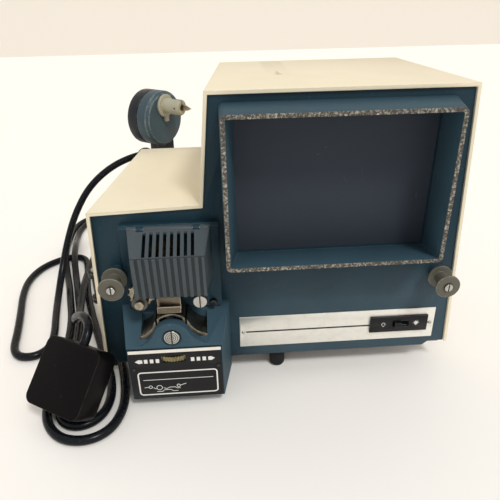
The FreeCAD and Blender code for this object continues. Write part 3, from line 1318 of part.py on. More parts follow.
def cord_hank():
    """The folded rest of the cord, as one flat closed shape."""
    left = []
    right = []
    count = len(HANK_LINE)
    for index, (across, depth, half) in enumerate(HANK_LINE):
        before = HANK_LINE[max(index - 1, 0)]
        after = HANK_LINE[min(index + 1, count - 1)]
        length = math.hypot(after[0] - before[0], after[1] - before[1])
        side_x = (after[1] - before[1]) / length
        side_y = -(after[0] - before[0]) / length
        left.append(Vector(across + side_x * half, depth + side_y * half, 0))
        right.append(Vector(across - side_x * half, depth - side_y * half, 0))
    ends = []
    for (across, depth, half), neighbour in ((HANK_LINE[-1], HANK_LINE[-2]), (HANK_LINE[0], HANK_LINE[1])):
        length = math.hypot(across - neighbour[0], depth - neighbour[1])
        ends.append(Vector(across + (across - neighbour[0]) / length * half,
            depth + (depth - neighbour[1]) / length * half, 0))
    edges = [Part.LineSegment(one, other).toShape() for one, other in zip(left, left[1:])]
    edges.append(Part.Arc(left[-1], ends[0], right[-1]).toShape())
    right.reverse()
    edges += [Part.LineSegment(one, other).toShape() for one, other in zip(right, right[1:])]
    edges.append(Part.Arc(right[-1], ends[1], left[0]).toShape())
    slab = Part.Face(Part.Wire(edges)).extrude(Vector(0, 0, d.hank_height.number))
    return node("cord_hank", feature("hank_slab", slab))


def cord_gland():
    """The strain relief: nut, neck through the wall, flange and tapered boot."""
    wall = d.shell_wall
    flange = d.gland_flange_thick
    boot = d.boot_length
    gland = turned("gland_turned", (
        (0, -wall - d.gland_nut), (d.gland_flange, -wall - d.gland_nut), (d.gland_flange, -wall),
        (d.gland_neck, -wall),
        (d.gland_neck, 0), (d.gland_flange, 0), (d.gland_flange, flange - 0.6),
        (d.gland_flange - 0.6, flange),
        (d.boot_radius, flange), (d.boot_tip, flange + boot), (0, flange + boot)),
        (d.gland_x, d.case_depth, d.gland_z), "Y")
    return node("cord_gland", group("gland", gland))


def cord_peg():
    """A round-headed peg on the back wall, to wind the cord on."""
    stand = d.peg_stand
    head = d.peg_head_thick
    peg = turned("peg_turned", (
        (0, 0), (d.peg_shank, 0), (d.peg_shank, stand), (d.peg_head - 1, stand), (d.peg_head, stand + 1),
        (d.peg_head, stand + 0.5 * head), (d.peg_head - 1.2, stand + 0.85 * head),
        (d.peg_head - 3.5, stand + head),
        (0, stand + head)), (d.peg_x, d.case_depth, d.peg_z), "Y")
    return node("cord_peg", group("peg", peg))


def plug_placement():
    """The plug lies tilted on the hank: one edge of its body and the tips of its pins rest there."""
    turn = Rotation(Vector(0, 0, 1),
        d.plug_turn.number).multiply(Rotation(Vector(1, 0, 0), d.plug_tilt.number))
    rest = d.hank_height.number + 0.3
    return Placement(Vector(d.plug_x.number, d.plug_y.number, rest), turn)


def plug_body():
    side = d.plug_side.number
    block = Part.makeBox(side, side, d.plug_thick.number)
    upright = [edge for edge in block.Edges if abs(edge.tangentAt(edge.FirstParameter).z) > 0.9]
    block = block.makeFillet(d.plug_round.number, upright)
    block.Placement = plug_placement()
    return node("plug_body", group("plug_block", feature("plug_moulding", block)))


def plug_pins():
    """Three flat pins under the plug's body."""
    middle = d.plug_side.number / 2
    row = d.pin_row.number
    long_side = d.pin_width.number
    thick = d.pin_thick.number
    pins = []
    for index, (across, depth, wide, deep) in enumerate((
            (middle - d.pin_space.number / 2, row, long_side, thick),
            (middle + d.pin_space.number / 2, row, long_side, thick),
            (middle, row - d.pin_space.number, thick, long_side + 1.5))):
        length = d.pin_length.number if index < 2 else d.earth_length.number
        pin = Part.makeBox(wide, deep, length, Vector(across - wide / 2, depth - deep / 2, -length))
        pin.Placement = plug_placement().multiply(pin.Placement)
        pins.append(feature(f"plug_pin_{index}", pin))
    return node("plug_pins", group("pin_set", *pins))


# ---------------------------------------------------------------- rewind arms

def unit_vectors(way):
    """The unit's own Y axis (towards the spindle) and X axis in the object's frame, at rest."""
    angle = way * d.unit_turn
    return (-sine(angle), cosine(angle)), (cosine(angle), sine(angle))


def swing_arm(side, way):
    """A cranked steel bar from the swivel along the case to the riser under the gear housing."""
    (axis_x, axis_y), (level_x, level_y) = unit_vectors(way)
    half = d.arm_thick.number / 2
    middle = (d.riser_start.number + d.riser_end.number) / 2
    path = [
        (way * d.swivel_x.number, d.swivel_y.number), (way * d.elbow_x.number, rear(-d.elbow_behind).number),
        (way * d.unit_x.number + axis_x.number * middle,
        rear(-d.unit_behind).number + axis_y.number * middle)]
    sides = ([], [])
    for index, point in enumerate(path):
        before = path[max(index - 1, 0)]
        after = path[min(index + 1, len(path) - 1)]
        length = math.hypot(after[0] - before[0], after[1] - before[1])
        for row, sign in zip(sides, (1, -1)):
            row.append(Vector(point[0] - sign * (after[1] - before[1]) / length * half,
                              point[1] + sign * (after[0] - before[0]) / length * half, d.arm_low.number))
    corners = sides[0] + sides[1][::-1]
    strip = feature(side + "_strip", Part.Face(Part.makePolygon(corners + corners[:1])).extrude(
        Vector(0, 0, d.arm_height.number)))
    barrel = cylinder(side + "_arm_barrel", d.barrel_outer, (way * d.swivel_x, d.swivel_y, d.arm_low),
        d.arm_height)
    riser = DOC.addObject("Part::Box", side + "_riser")
    drive(riser, "Length", d.riser_width)
    drive(riser, "Width", d.riser_end - d.riser_start)
    drive(riser, "Height", d.unit_z - d.arm_low)
    turn = Rotation(Vector(0, 0, 1), way * d.unit_turn.number)
    corner_x = d.unit_x * way + axis_x * d.riser_start - level_x * d.riser_width / 2
    corner_y = rear(-d.unit_behind) + axis_y * d.riser_start - level_y * d.riser_width / 2
    place(riser, (corner_x, corner_y, d.arm_low), turn)
    saddle = cylinder(side + "_saddle", d.unit_radius + d.seat_gap, (0, -30, 0), 60, "Y")
    seat = group(side + "_saddle_place", saddle)
    place(seat, (way * d.unit_x, rear(-d.unit_behind), d.unit_z), turn)
    bore = cylinder(side + "_arm_bore", d.swivel_pin + d.running_gap,
        (way * d.swivel_x, d.swivel_y, d.arm_low - 1),
                    d.arm_height + 2)
    return node(side + "_arm",
        cut(side + "_arm_cut", fuse(side + "_arm_block", strip, barrel, riser), bore, seat))


def at_unit(side, way, label, solid):
    """Carry a piece from the unit's own frame, whose axis is Y, to its place on the arm."""
    carried = group(side + "_" + label + "_carried", solid)
    place(carried, (way * d.unit_x, rear(-d.unit_behind), d.unit_z),
        Rotation(Vector(0, 0, 1), way * d.unit_turn.number))
    return node(side + "_" + label, carried)


def gear_case(side, way):
    """The blue housing: a cup with the crank's axle and the bearing of the spindle."""
    inside = d.unit_radius - d.housing_wall
    floor = d.housing_deep - d.housing_wall
    cup = turned(side + "_cup", (
        (0, -d.crank_deep), (d.axle_radius, -d.crank_deep), (d.axle_radius, -d.crank_gap / 2),
        (d.hub_radius, -d.crank_gap / 2),
        (d.hub_radius, floor), (inside, floor), (inside, 0), (d.unit_radius, 0),
        (d.unit_radius, d.housing_straight),
        (d.unit_front_radius, d.housing_deep), (0, d.housing_deep)), (0, 0, 0), "Y")
    bearing = cylinder(side + "_bearing", d.spindle_shaft + 2.2, (0, 1, d.spindle_rise), floor, "Y")
    bore = cylinder(side + "_bearing_bore", d.spindle_shaft + d.running_gap, (0, 0, d.spindle_rise), 20, "Y")
    return at_unit(side, way, "gear_housing",
        cut(side + "_cup_cut", fuse(side + "_cup_block", cup, bearing), bore))


def crank_wheel(side, way):
    """The dark wheel with the ring gear inside it and the pin of its handle."""
    deep = d.crank_deep.number
    gap = d.crank_gap.number
    web = d.crank_web.number
    module = d.wind_module.number
    teeth = int(d.ring_teeth.number)
    pitch = module * teeth / 2
    room = gear_face(teeth, module, pitch + 1.15 * module, pitch - 0.8 * module, -d.wind_slim.number)
    room.rotate(Vector(), Vector(0, 0, 1), 90)
    cavity = room.extrude(Vector(0, 0, deep - web))
    disc = Part.makeCylinder(d.unit_radius.number, deep - gap)
    cavity.translate(Vector(0, 0, web))
    hub = Part.makeCylinder(d.hub_radius.number, deep - gap - web, Vector(0, 0, web))
    solid = disc.cut(cavity).fuse(hub)
    bore = Part.makeCylinder(d.axle_radius.number + d.axle_gap.number, deep + 2, Vector(0, 0, -1))
    wheel = to_back(solid.cut(bore), 0, -deep, 0)
    disc_feature = feature(side + "_wheel_disc", wheel)
    reach = d.knob_start + d.knob_length + 0.1
    pin = turned(side + "_knob_pin", (
        (0, 0), (d.knob_pin, 0), (d.knob_pin, -reach), (d.knob_cap, -reach),
        (d.knob_cap, -reach - d.knob_cap_thick * 0.5), (d.knob_cap - 0.5, -reach - d.knob_cap_thick),
        (0, -reach - d.knob_cap_thick)), (way * d.knob_reach, -d.crank_deep, 0), "Y")
    return at_unit(side, way, "crank_wheel", group(side + "_wheel_with_pin", disc_feature, pin))


def crank_knob(side, way):
    start = -d.crank_deep - d.knob_start
    length = d.knob_length
    bore = d.knob_pin + d.knob_bore_gap
    knob = turned(side + "_knob_turned", (
        (bore, 0), (d.knob_radius - 0.6, 0), (d.knob_radius, -0.8), (d.knob_radius * 0.86, -length * 0.5),
        (d.knob_radius, -length + 1), (d.knob_radius - 0.8, -length), (bore, -length)),
        (way * d.knob_reach, start, 0), "Y")
    return at_unit(side, way, "crank_knob", knob)


def reel_spindle(side, way):
    """The cream spindle that takes the reel, with its flange, tab, slot, shaft and pinion."""
    base = d.housing_deep + d.spindle_gap
    flange = d.spindle_flange_thick
    tip = flange + d.spindle_length
    up = d.spindle_rise
    turned_part = turned(side + "_spindle_turned", (
        (0, 0), (d.spindle_flange, 0), (d.spindle_flange, flange - 0.5), (d.spindle_flange - 0.5, flange),
        (d.spindle_radius, flange), (d.spindle_radius, tip - d.spindle_tip),
        (d.spindle_radius - d.spindle_tip, tip), (0, tip)), (0, base, up), "Y")
    tab = box(side + "_spindle_tab", (-d.tab_width / 2, base, up - d.spindle_flange - d.tab_drop),
              (d.tab_width / 2, base + flange, up - d.spindle_flange + 1))
    shaft = cylinder(side + "_spindle_rod", d.spindle_shaft, (0, d.pinion_rear, up), base + 1 - d.pinion_rear,
        "Y")
    teeth = int(d.pinion_teeth.number)
    width = d.pinion_front.number - d.pinion_rear.number
    wheel = spur(teeth, d.wind_module.number, width, d.wind_slim.number, 90)
    pinion = feature(side + "_wind_pinion", to_back(wheel, 0, d.pinion_rear.number, up.number))
    end = base + tip
    bore = cylinder(side + "_spindle_bore", d.spindle_bore, (0, end - d.spindle_bore_deep, up),
        d.spindle_bore_deep + 1, "Y")
    slot = box(side + "_spindle_slot", (-d.spindle_slot / 2, end - d.spindle_bore_deep + 1, up),
               (d.spindle_slot / 2, end + 1, up + 10))
    cross = cylinder(side + "_latch_hole", d.latch_pin + d.latch_pin_gap, (-12, d.latch_pivot, up), 24, "X")
    return at_unit(side, way, "spindle", cut(
        side + "_spindle_cut", fuse(side + "_spindle_block", turned_part, tab, shaft, pinion), bore, slot,
        cross))


def spindle_latch(side, way):
    """The steel blade that flips up through the spindle's slot to hold a reel."""
    half = d.latch_half
    low = d.spindle_rise - half
    blade = pad(side + "_latch_blade", "YZ", (
        (d.latch_pivot, low), (d.latch_tip - 3, low + 0.6), (d.latch_tip, low + half),
        (d.latch_tip - 5, low + 2 * half),
        (d.latch_pivot, low + 2 * half)), -d.latch_thick / 2, d.latch_thick)
    eye = cylinder(side + "_latch_eye", half, (-d.latch_thick / 2, d.latch_pivot, d.spindle_rise),
        d.latch_thick, "X")
    pin = cylinder(side + "_latch_rod", d.latch_pin, (-d.latch_pin_length / 2, d.latch_pivot, d.spindle_rise),
                   d.latch_pin_length, "X")
    return at_unit(side, way, "spindle_latch", fuse(side + "_latch_block", blade, eye, pin))


def arm_brackets():
    """Two lugs on each side wall that hold the swivel pins; each is shaped to the tapered wall."""
    wall = DOC.getObject("shell_outer")
    low = d.arm_low - d.lug_space - d.lug_thick
    high = d.arm_low + d.arm_height + d.lug_space
    lugs = []
    for side, way in (("left", -1), ("right", 1)):
        for level, start in (("low", low), ("high", high)):
            near = d.swivel_x - d.lug_root
            far = d.swivel_x
            inner = min(way * near, way * far, key=lambda size: size.number)
            outer = max(way * near, way * far, key=lambda size: size.number)
            name = f"{side}_{level}_lug"
            arm = box(name + "_bar", (inner, d.swivel_y - d.lug_depth / 2, start),
                (outer, d.swivel_y + d.lug_depth / 2, start + d.lug_thick))
            eye = cylinder(name + "_eye", d.lug_reach, (way * d.swivel_x, d.swivel_y, start), d.lug_thick)
            hole = cylinder(name + "_hole", d.swivel_pin, (way * d.swivel_x, d.swivel_y, start - 1),
                d.lug_thick + 2)
            lugs.append(cut(name + "_cut", fuse(name + "_bar_eye", arm, eye), hole, wall))
    return node("arm_brackets", group("lugs", *lugs))


# ---------------------------------------------------------------- the whole object

def build():
    rear_shell()
    front_panel()
    base_plate()
    rubber_feet()
    panel_screws()
    screen_hood()
    hood_trim()
    viewing_screen()
    screen_mirror()
    small_mirrors()
    mirror_mounts()
    gate_housing()
    focus_plate()
    film_gate()
    lens_barrel()
    lens_glass()
    focus_wheel()
    prism()
    prism_shaft()
    sprocket_gear()
    gear_bridge()
    framing_screw()
    film_sprocket()
    film_roller("left", d.roller_left_x, d.roller_left_z)
    film_roller("right", d.roller_right_x, d.roller_right_z)
    guide_roller()
    film_studs()
    lamp_plinth()
    lamp_house()
    pressure_plate()
    hinge_pins()
    lamp_socket()
    lamp_bulb()
    reflector()
    marker_button()
    nameplate()
    switch_bezel()
    switch_slider()
    switch_body()
    transformer()
    cord_gland()
    cord_peg()
    power_cord()
    cord_hank()
    plug_body()
    plug_pins()
    arm_brackets()
    for side, way in (("left", -1), ("right", 1)):
        swing_arm(side, way)
        gear_case(side, way)
        crank_wheel(side, way)
        crank_knob(side, way)
        reel_spindle(side, way)
        spindle_latch(side, way)


def check_and_export():
    """Every object has to compute and every piece has to be a valid solid before any file is written."""
    DOC.recompute()
    broken = [item.Label for item in DOC.Objects if {"Invalid", "Error"} & set(item.State)]
    if broken:
        raise RuntimeError("not computed: " + ", ".join(broken))
    for piece in NODES:
        if piece.Shape.isNull() or not piece.Shape.isValid() or not piece.Shape.Solids:
            raise RuntimeError("not a valid solid: " + piece.Label)
    os.makedirs("parts", exist_ok=True)
    for piece in NODES:
        piece.Shape.exportStep(f"parts/{piece.Label}.step")
    print(len(NODES), "nodes written")


build()
check_and_export()
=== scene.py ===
"""Dresses the film editor viewer: eased edges, printed marks, cord, finishes, camera, light and floor.

Sizes are millimetres in the case's own directions: x to the right, depth behind the panel's face, height above
the table. The cord's points are metres in the frame.
"""

import json
import math

import bmesh
import bpy
from mathutils import Matrix, Vector

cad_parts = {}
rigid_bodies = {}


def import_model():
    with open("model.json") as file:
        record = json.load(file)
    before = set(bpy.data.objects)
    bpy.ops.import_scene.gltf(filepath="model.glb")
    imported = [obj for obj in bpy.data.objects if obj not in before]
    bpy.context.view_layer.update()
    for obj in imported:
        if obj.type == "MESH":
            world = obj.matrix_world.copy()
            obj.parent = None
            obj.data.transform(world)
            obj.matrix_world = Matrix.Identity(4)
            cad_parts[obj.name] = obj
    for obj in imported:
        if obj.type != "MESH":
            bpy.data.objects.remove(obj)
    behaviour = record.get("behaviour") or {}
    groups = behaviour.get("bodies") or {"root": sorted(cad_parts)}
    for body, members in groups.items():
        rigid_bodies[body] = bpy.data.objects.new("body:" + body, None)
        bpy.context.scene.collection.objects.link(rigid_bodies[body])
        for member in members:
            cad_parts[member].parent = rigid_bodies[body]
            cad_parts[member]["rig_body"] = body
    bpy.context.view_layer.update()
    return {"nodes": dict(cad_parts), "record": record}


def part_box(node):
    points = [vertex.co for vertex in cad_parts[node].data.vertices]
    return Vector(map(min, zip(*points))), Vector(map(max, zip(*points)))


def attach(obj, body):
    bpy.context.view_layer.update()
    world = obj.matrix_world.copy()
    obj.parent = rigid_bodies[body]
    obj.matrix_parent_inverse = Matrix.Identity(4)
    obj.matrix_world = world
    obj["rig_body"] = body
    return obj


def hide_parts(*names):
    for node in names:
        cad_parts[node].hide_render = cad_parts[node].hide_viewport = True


MM = 0.001
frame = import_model()
NODES = frame["nodes"]
FACE_Y = -72 * MM  # the panel's face
SLOT_OF = {part["node"]: part["material_slot"] for part in frame["record"]["subparts"]}
EDGE = "edge"  # a face attribute: 1 on an eased edge, where paint rubs through and where edge highlights are painted


# ---------------------------------------------------------------- camera

CAMERA_PLACE = Vector((-0.0363, -0.3692, 0.2622))
CAMERA_DOWN = math.radians(27.99)
CAMERA_RIGHT = math.radians(3.31)
CAMERA_ROLL = math.radians(-1.16)
SENSOR = 36
FOCAL = 36.576


def set_camera():
    """The viewer stands at arm's length, a little left of the middle, and looks down on the case."""
    ahead = Vector((
        math.sin(CAMERA_RIGHT) * math.cos(CAMERA_DOWN),
        math.cos(CAMERA_RIGHT) * math.cos(CAMERA_DOWN),
        -math.sin(CAMERA_DOWN),
    ))
    right = Vector((math.cos(CAMERA_RIGHT), -math.sin(CAMERA_RIGHT), 0))
    up = right.cross(ahead)
    rolled_right = right * math.cos(CAMERA_ROLL) + up * math.sin(CAMERA_ROLL)
    rolled_up = up * math.cos(CAMERA_ROLL) - right * math.sin(CAMERA_ROLL)
    turn = Matrix((rolled_right, rolled_up, -ahead)).transposed().to_4x4()
    camera = bpy.data.objects.new("camera", bpy.data.cameras.new("camera"))
    camera.data.sensor_width = SENSOR
    camera.data.lens = FOCAL
    camera.matrix_world = Matrix.Translation(CAMERA_PLACE) @ turn
    bpy.context.scene.collection.objects.link(camera)
    bpy.context.scene.camera = camera


# ---------------------------------------------------------------- cord

CORD_RADIUS = 0.0032
# From the gland over the back, down to the table on the left and round one open loop.
CORD_ROUTE = (
    (-0.048, 0.0705, 0.112), (-0.049, 0.098, 0.113), (-0.07, 0.12, 0.115), (-0.102, 0.121, 0.116),
    (-0.134, 0.111, 0.11), (-0.161, 0.101, 0.092), (-0.179, 0.094, 0.065), (-0.189, 0.082, 0.038),
    (-0.194, 0.064, 0.014), (-0.193, 0.04, 0.0032), (-0.187, 0.01, 0.0032), (-0.181, -0.016, 0.0032),
    (-0.18, -0.034, 0.0032), (-0.188, -0.044, 0.0032), (-0.201, -0.044, 0.0032), (-0.209, -0.034, 0.0032),
    (-0.213, -0.012, 0.0032), (-0.22, 0.018, 0.0032), (-0.228, 0.049, 0.0032), (-0.231, 0.078, 0.0032),
    (-0.223, 0.104, 0.0032), (-0.202, 0.121, 0.0032),
)
# The loose hank beside the case: two turns, each outside the one before, over the strand that comes in.
CORD_HANK = (
    (-0.184, 0.118, 0.0032), (-0.177, 0.096, 0.0032), (-0.172, 0.068, 0.0032), (-0.165, 0.04, 0.0032),
    (-0.154, 0.006, 0.0032), (-0.137, -0.041, 0.0032), (-0.125, -0.07, 0.0032), (-0.12, -0.094, 0.0032),
    (-0.124, -0.113, 0.0032), (-0.138, -0.121, 0.0032), (-0.152, -0.114, 0.0032), (-0.157, -0.092, 0.0032),
    (-0.157, -0.06, 0.0032), (-0.159, -0.028, 0.0032), (-0.164, 0.006, 0.0032), (-0.172, 0.032, 0.0032),
    (-0.179, 0.058, 0.0032), (-0.185, 0.078, 0.0035), (-0.191, 0.102, 0.0115), (-0.197, 0.134, 0.0115),
    (-0.203, 0.16, 0.0034), (-0.2055, 0.188, 0.0032), (-0.201, 0.208, 0.0032), (-0.187, 0.217, 0.0032),
    (-0.173, 0.208, 0.0032), (-0.169, 0.188, 0.0032), (-0.168, 0.16, 0.0032), (-0.168, 0.128, 0.0032),
    (-0.165, 0.096, 0.0032), (-0.157, 0.058, 0.0032), (-0.145, 0.024, 0.0032), (-0.131, -0.02, 0.0032),
    (-0.119, -0.057, 0.0032), (-0.112, -0.084, 0.0032), (-0.11, -0.106, 0.0032), (-0.116, -0.125, 0.0032),
    (-0.131, -0.133, 0.0032), (-0.149, -0.129, 0.0032), (-0.162, -0.112, 0.0032), (-0.165, -0.088, 0.0032),
    (-0.165, -0.056, 0.0032), (-0.167, -0.026, 0.0032), (-0.172, 0.006, 0.0032), (-0.1795, 0.032, 0.0032),
    (-0.1865, 0.058, 0.0032), (-0.193, 0.078, 0.0035), (-0.2, 0.102, 0.0115), (-0.206, 0.134, 0.0115),
    (-0.2115, 0.16, 0.0034), (-0.214, 0.192, 0.0032), (-0.206, 0.217, 0.0032), (-0.187, 0.226, 0.0032),
    (-0.167, 0.216, 0.0032), (-0.16, 0.192, 0.0032), (-0.16, 0.166, 0.0036), (-0.165, 0.138, 0.0115),
    (-0.171, 0.11, 0.0115), (-0.1715, 0.082, 0.0104), (-0.17, 0.05, 0.0103), (-0.167, 0.024, 0.0104),
)
# From the top of the hank up over the back edge of the plug, which leans on it.
PLUG_LEAD = (
    (-0.1635, 0.004, 0.0104), (-0.16, -0.016, 0.0165), (-0.155, -0.035, 0.03), (-0.1475, -0.052, 0.045),
    (-0.1385, -0.065, 0.0545), (-0.1318, -0.0755, 0.0555), (-0.131, -0.0841, 0.0523),
    (-0.13381, -0.08875, 0.04664),
)


def lay_cord(finish):
    """The mains cord as one smooth line from the gland to the plug."""
    points = CORD_ROUTE + CORD_HANK + PLUG_LEAD
    line = bpy.data.curves.new("mains_cord", "CURVE")
    line.dimensions = "3D"
    line.bevel_depth = CORD_RADIUS
    line.bevel_resolution = 5
    line.use_fill_caps = True
    line.resolution_u = 8
    spline = line.splines.new("NURBS")
    spline.points.add(len(points) - 1)
    for control, point in zip(spline.points, points):
        control.co = (*point, 1)
    spline.order_u = 3
    spline.use_endpoint_u = True
    cord = bpy.data.objects.new("mains_cord", line)
    bpy.context.scene.collection.objects.link(cord)
    line.materials.append(finish)
    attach(cord, "case")
    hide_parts("power_cord", "cord_hank")


# ---------------------------------------------------------------- shader arithmetic


class Signal:
    """One socket of a shader tree. Arithmetic on it adds Math nodes, and `node` adds any other node."""

    def __init__(self, tree, socket=None):
        self.tree = tree
        self.socket = socket

    def node(self, kind, output=0, inputs=None, **settings):
        made = self.tree.nodes.new(kind)
        for name, value in settings.items():
            setattr(made, name, value)
        for key, value in (inputs or {}).items():
            if isinstance(value, Signal):
                self.tree.links.new(value.socket, made.inputs[key])
            else:
                made.inputs[key].default_value = value
        return Signal(self.tree, made.outputs[output] if made.outputs else None)

    def math(self, operation, first, second):
        return self.node("ShaderNodeMath", operation=operation, inputs={0: first, 1: second})

    def __add__(self, other):
        return self.math("ADD", self, other)

    def __sub__(self, other):
        return self.math("SUBTRACT", self, other)

    def __rsub__(self, other):
        return self.math("SUBTRACT", other, self)

    def __mul__(self, other):
        return self.math("MULTIPLY", self, other)


def start_finish(name):
    """A material with an empty tree, and the two signals that every finish reads: place and eased edge."""
    made = bpy.data.materials.new(name)
    made.use_nodes = True
    made.node_tree.nodes.clear()
    tree = Signal(made.node_tree)
    place = tree.node("ShaderNodeTexCoord", output="Object")
    edge = tree.node("ShaderNodeAttribute", output="Fac", attribute_name=EDGE)
    return made, place, edge


def noise(place, size, detail=3.0, roughness=0.5, stretch=(1, 1, 1)):
    """Cloudy variation from 0 to 1 with features about `size` millimetres across, drawn out along an axis."""
    scaled = place.node("ShaderNodeMapping", inputs={"Vector": place, "Scale": stretch})
    return place.node("ShaderNodeTexNoise", inputs={
        "Vector": scaled, "Scale": 1 / (size * MM), "Detail": detail, "Roughness": roughness,
    })


def between(signal, low, high):
    """0 below `low`, 1 above `high` and even between them."""
    return signal.node("ShaderNodeMapRange", inputs={"Value": signal, "From Min": low, "From Max": high})


def mix(first, second, share):
    """The first colour where the share is 0, and the second where it is 1."""
    inputs = {0: share}
    for key, colour in ((6, first), (7, second)):
        inputs[key] = colour if isinstance(colour, Signal) else (*colour, 1)
    return share.node("ShaderNodeMix", output=2, data_type="RGBA", inputs=inputs)


def along(place, axis):
    """One coordinate of a place, in millimetres."""
    return place.node("ShaderNodeSeparateXYZ", output="XYZ".index(axis), inputs={0: place}) * (1 / MM)


def from_axis(place, centre):
    """The distance from a line through `centre` that runs from front to back, in millimetres."""
    offset = place.node("ShaderNodeVectorMath", operation="SUBTRACT", inputs={0: place, 1: centre})
    flat = place.node("ShaderNodeVectorMath", operation="MULTIPLY", inputs={0: offset, 1: (1, 0, 1)})
    return place.node("ShaderNodeVectorMath", output=1, operation="LENGTH", inputs={0: flat}) * (1 / MM)


def close_finish(made, colour, roughness, height, depth, **constants):
    """Joins the signals to the surface: `height` is a relief `depth` millimetres deep."""
    bump = colour.node("ShaderNodeBump", inputs={"Height": height, "Distance": depth * MM, "Strength": 1.0})
    inputs = {"Base Color": colour, "Roughness": roughness, "Normal": bump}
    inputs.update({name.replace("_", " ").title().replace("Ior", "IOR"): v for name, v in constants.items()})
    shader = colour.node("ShaderNodeBsdfPrincipled", inputs=inputs)
    colour.node("ShaderNodeOutputMaterial", inputs={"Surface": shader})
    return made


# ---------------------------------------------------------------- finishes


# Near black: painted shade in slots, grooves, flutes and hollows, and the own black of the focus plate's small
# screws.
BLACK_AND_SUNK_SHADE = (0.010, 0.010, 0.010)


def coated(name, colour, rubbed, roughness, skin=0.35, depth=0.02, wear_and_highlight=0.6, marks=0.25, shine=0.25,
           cloud=0.86, dirt_and_painted_light=None, painted_light_colour=BLACK_AND_SUNK_SHADE):
    """Paint or moulded plastic: a drifting colour, a fine skin, small marks, and edges rubbed to `rubbed`.

    A mask, if given, lays a second colour: painted shade in hollows and the dent, painted light below the
    screen.
    """
    made, place, edge = start_finish(name)
    drift = noise(place, 38, detail=4)
    scuffs = between(noise(place, 3.2, detail=8, roughness=0.68), 0.62, 0.74)
    streaks = between(noise(place, 2.4, detail=6, roughness=0.6, stretch=(1, 0.12, 1)), 0.66, 0.76)
    texture = noise(place, skin, detail=2)
    rubbed_and_lit_edge = edge * between(noise(place, 4.5, detail=6, roughness=0.7), 0.38, 0.62) * wear_and_highlight
    deep = tuple(cloud * part for part in colour)
    base = mix(deep, colour, between(drift, 0.3, 0.7))
    base = mix(base, rubbed, scuffs * marks)
    # The eased edges turn paler: rubbed-through paint, and on the blue paint also a painted highlight where
    # they catch the light.
    base = mix(base, rubbed, rubbed_and_lit_edge)
    # Where a mask is given: painted shade in the flutes and the dent, and painted light below the screen.
    if dirt_and_painted_light:
        base = mix(base, painted_light_colour, dirt_and_painted_light(place))
    gloss = drift * 0.12 + scuffs * 0.1 + texture * 0.06 + (roughness - 0.09)
    relief = texture - streaks * 0.5 - rubbed_and_lit_edge * 0.6
    return close_finish(made, base, gloss, relief, depth, specular_ior_level=shine)


def metal(
        name, colour, tarnish, roughness, grain=(1, 1, 1), size=0.6, spots=0.35, depth=0.012, wear_and_highlight=0.5,
        dirt_and_painted_light=None, bare=1.0, edge_polish_and_highlight=1.18):
    """Bare or plated metal: fine brushing along one direction, tarnish in patches, and a near-black mask as on
    `coated`.
    """
    made, place, edge = start_finish(name)
    brushing = noise(place, size, detail=5, roughness=0.65, stretch=grain)
    patches = between(noise(place, 5.5, detail=7, roughness=0.66), 0.46, 0.68)
    pits = between(noise(place, 0.9, detail=3), 0.66, 0.74)
    rubbed_and_lit_edge = edge * wear_and_highlight
    base = mix(colour, tarnish, patches * spots + brushing * 0.18)
    base = mix(base, tarnish, pits * spots)
    # The eased edges turn brighter: polish, and on the film gate and pressure plate a painted highlight.
    base = mix(base, tuple(min(1.0, edge_polish_and_highlight * part) for part in colour), rubbed_and_lit_edge)
    gloss = patches * 0.16 + brushing * 0.14 + (roughness - 0.12)
    if not dirt_and_painted_light:
        return close_finish(made, base, gloss, brushing - pits * 0.8, depth, metallic=bare)
    # The mask's share turns near black and dull: painted shade in slots, grooves and the drum's hub, and the
    # black of the focus plate's small screws.
    darkened = dirt_and_painted_light(place)
    base = mix(base, BLACK_AND_SUNK_SHADE, darkened)
    relief = brushing - pits * 0.8 - darkened
    return close_finish(made, base, gloss, relief, depth, metallic=(1 - darkened) * bare)


# Where the painted shade and light and the black screws lie, in the case's millimetres. A pair is where a mask
# is 0 and where it is 1.
FOLD_DEPTH, FOLD_HEIGHT = -30.0, 116.2
LOW_DEPTH, LOW_HEIGHT = -28.0, 87.6
FLUTE_FLOOR, FLUTE_BACK = (0.15, 0.7), (1.5, 1.2)
RING_PITCH = 1.3
RING_GROOVE, RING_SLOT = (0.26, 0.12), (0.15, 0.45)
STUD_SLOT = (0.15, 0.4)
FLUTE_SHARE, DRUM_SHARE, DENT_SHARE = 0.66, 0.8, 0.8  # how much the painted shade darkens where a mask is 1
GUIDE_STUD_FRONT = 1.9  # how far the guide's head stands before the other two
GUIDE_STUD_LEFT, GUIDE_STUD_RIGHT = (-85, -80), (0, -10)
DRUM_CAP_END, DRUM_RING = (-24.8, -24.4), (-10.9, -11.2)
BELOW_SCREEN, RIGHT_OF_GATE, ON_FACE = (100, 62), (-36, -8), (0.5, 0.2)
DENT_LEFT, DENT_RIGHT = (-4, -1), (15, 12)
DENT_FRONT, DENT_BACK, DENT_BOTTOM = (40, 44), (116, 112), (207.1, 205.2)
SWITCH_LEFT, SWITCH_RIGHT = (83.6, 83.8), (96.4, 96.2)
SWITCH_LOW, SWITCH_HIGH = (35.8, 36.0), (40.8, 40.6)
LABEL_SCREWS = (-20, -22)


def depth_behind_face(place):
    return along(place, "Y") - FACE_Y / MM


def flute_shade(place):
    """Painted shade on the floors of the flutes, which lie behind the lamp house's leaning front."""
    lean = (LOW_DEPTH - FOLD_DEPTH) / (LOW_HEIGHT - FOLD_HEIGHT)
    front = along(place, "Z") * lean + (FOLD_DEPTH - FOLD_HEIGHT * lean)
    sunk = depth_behind_face(place) - front
    return between(sunk, *FLUTE_FLOOR) * between(sunk, *FLUTE_BACK) * FLUTE_SHARE


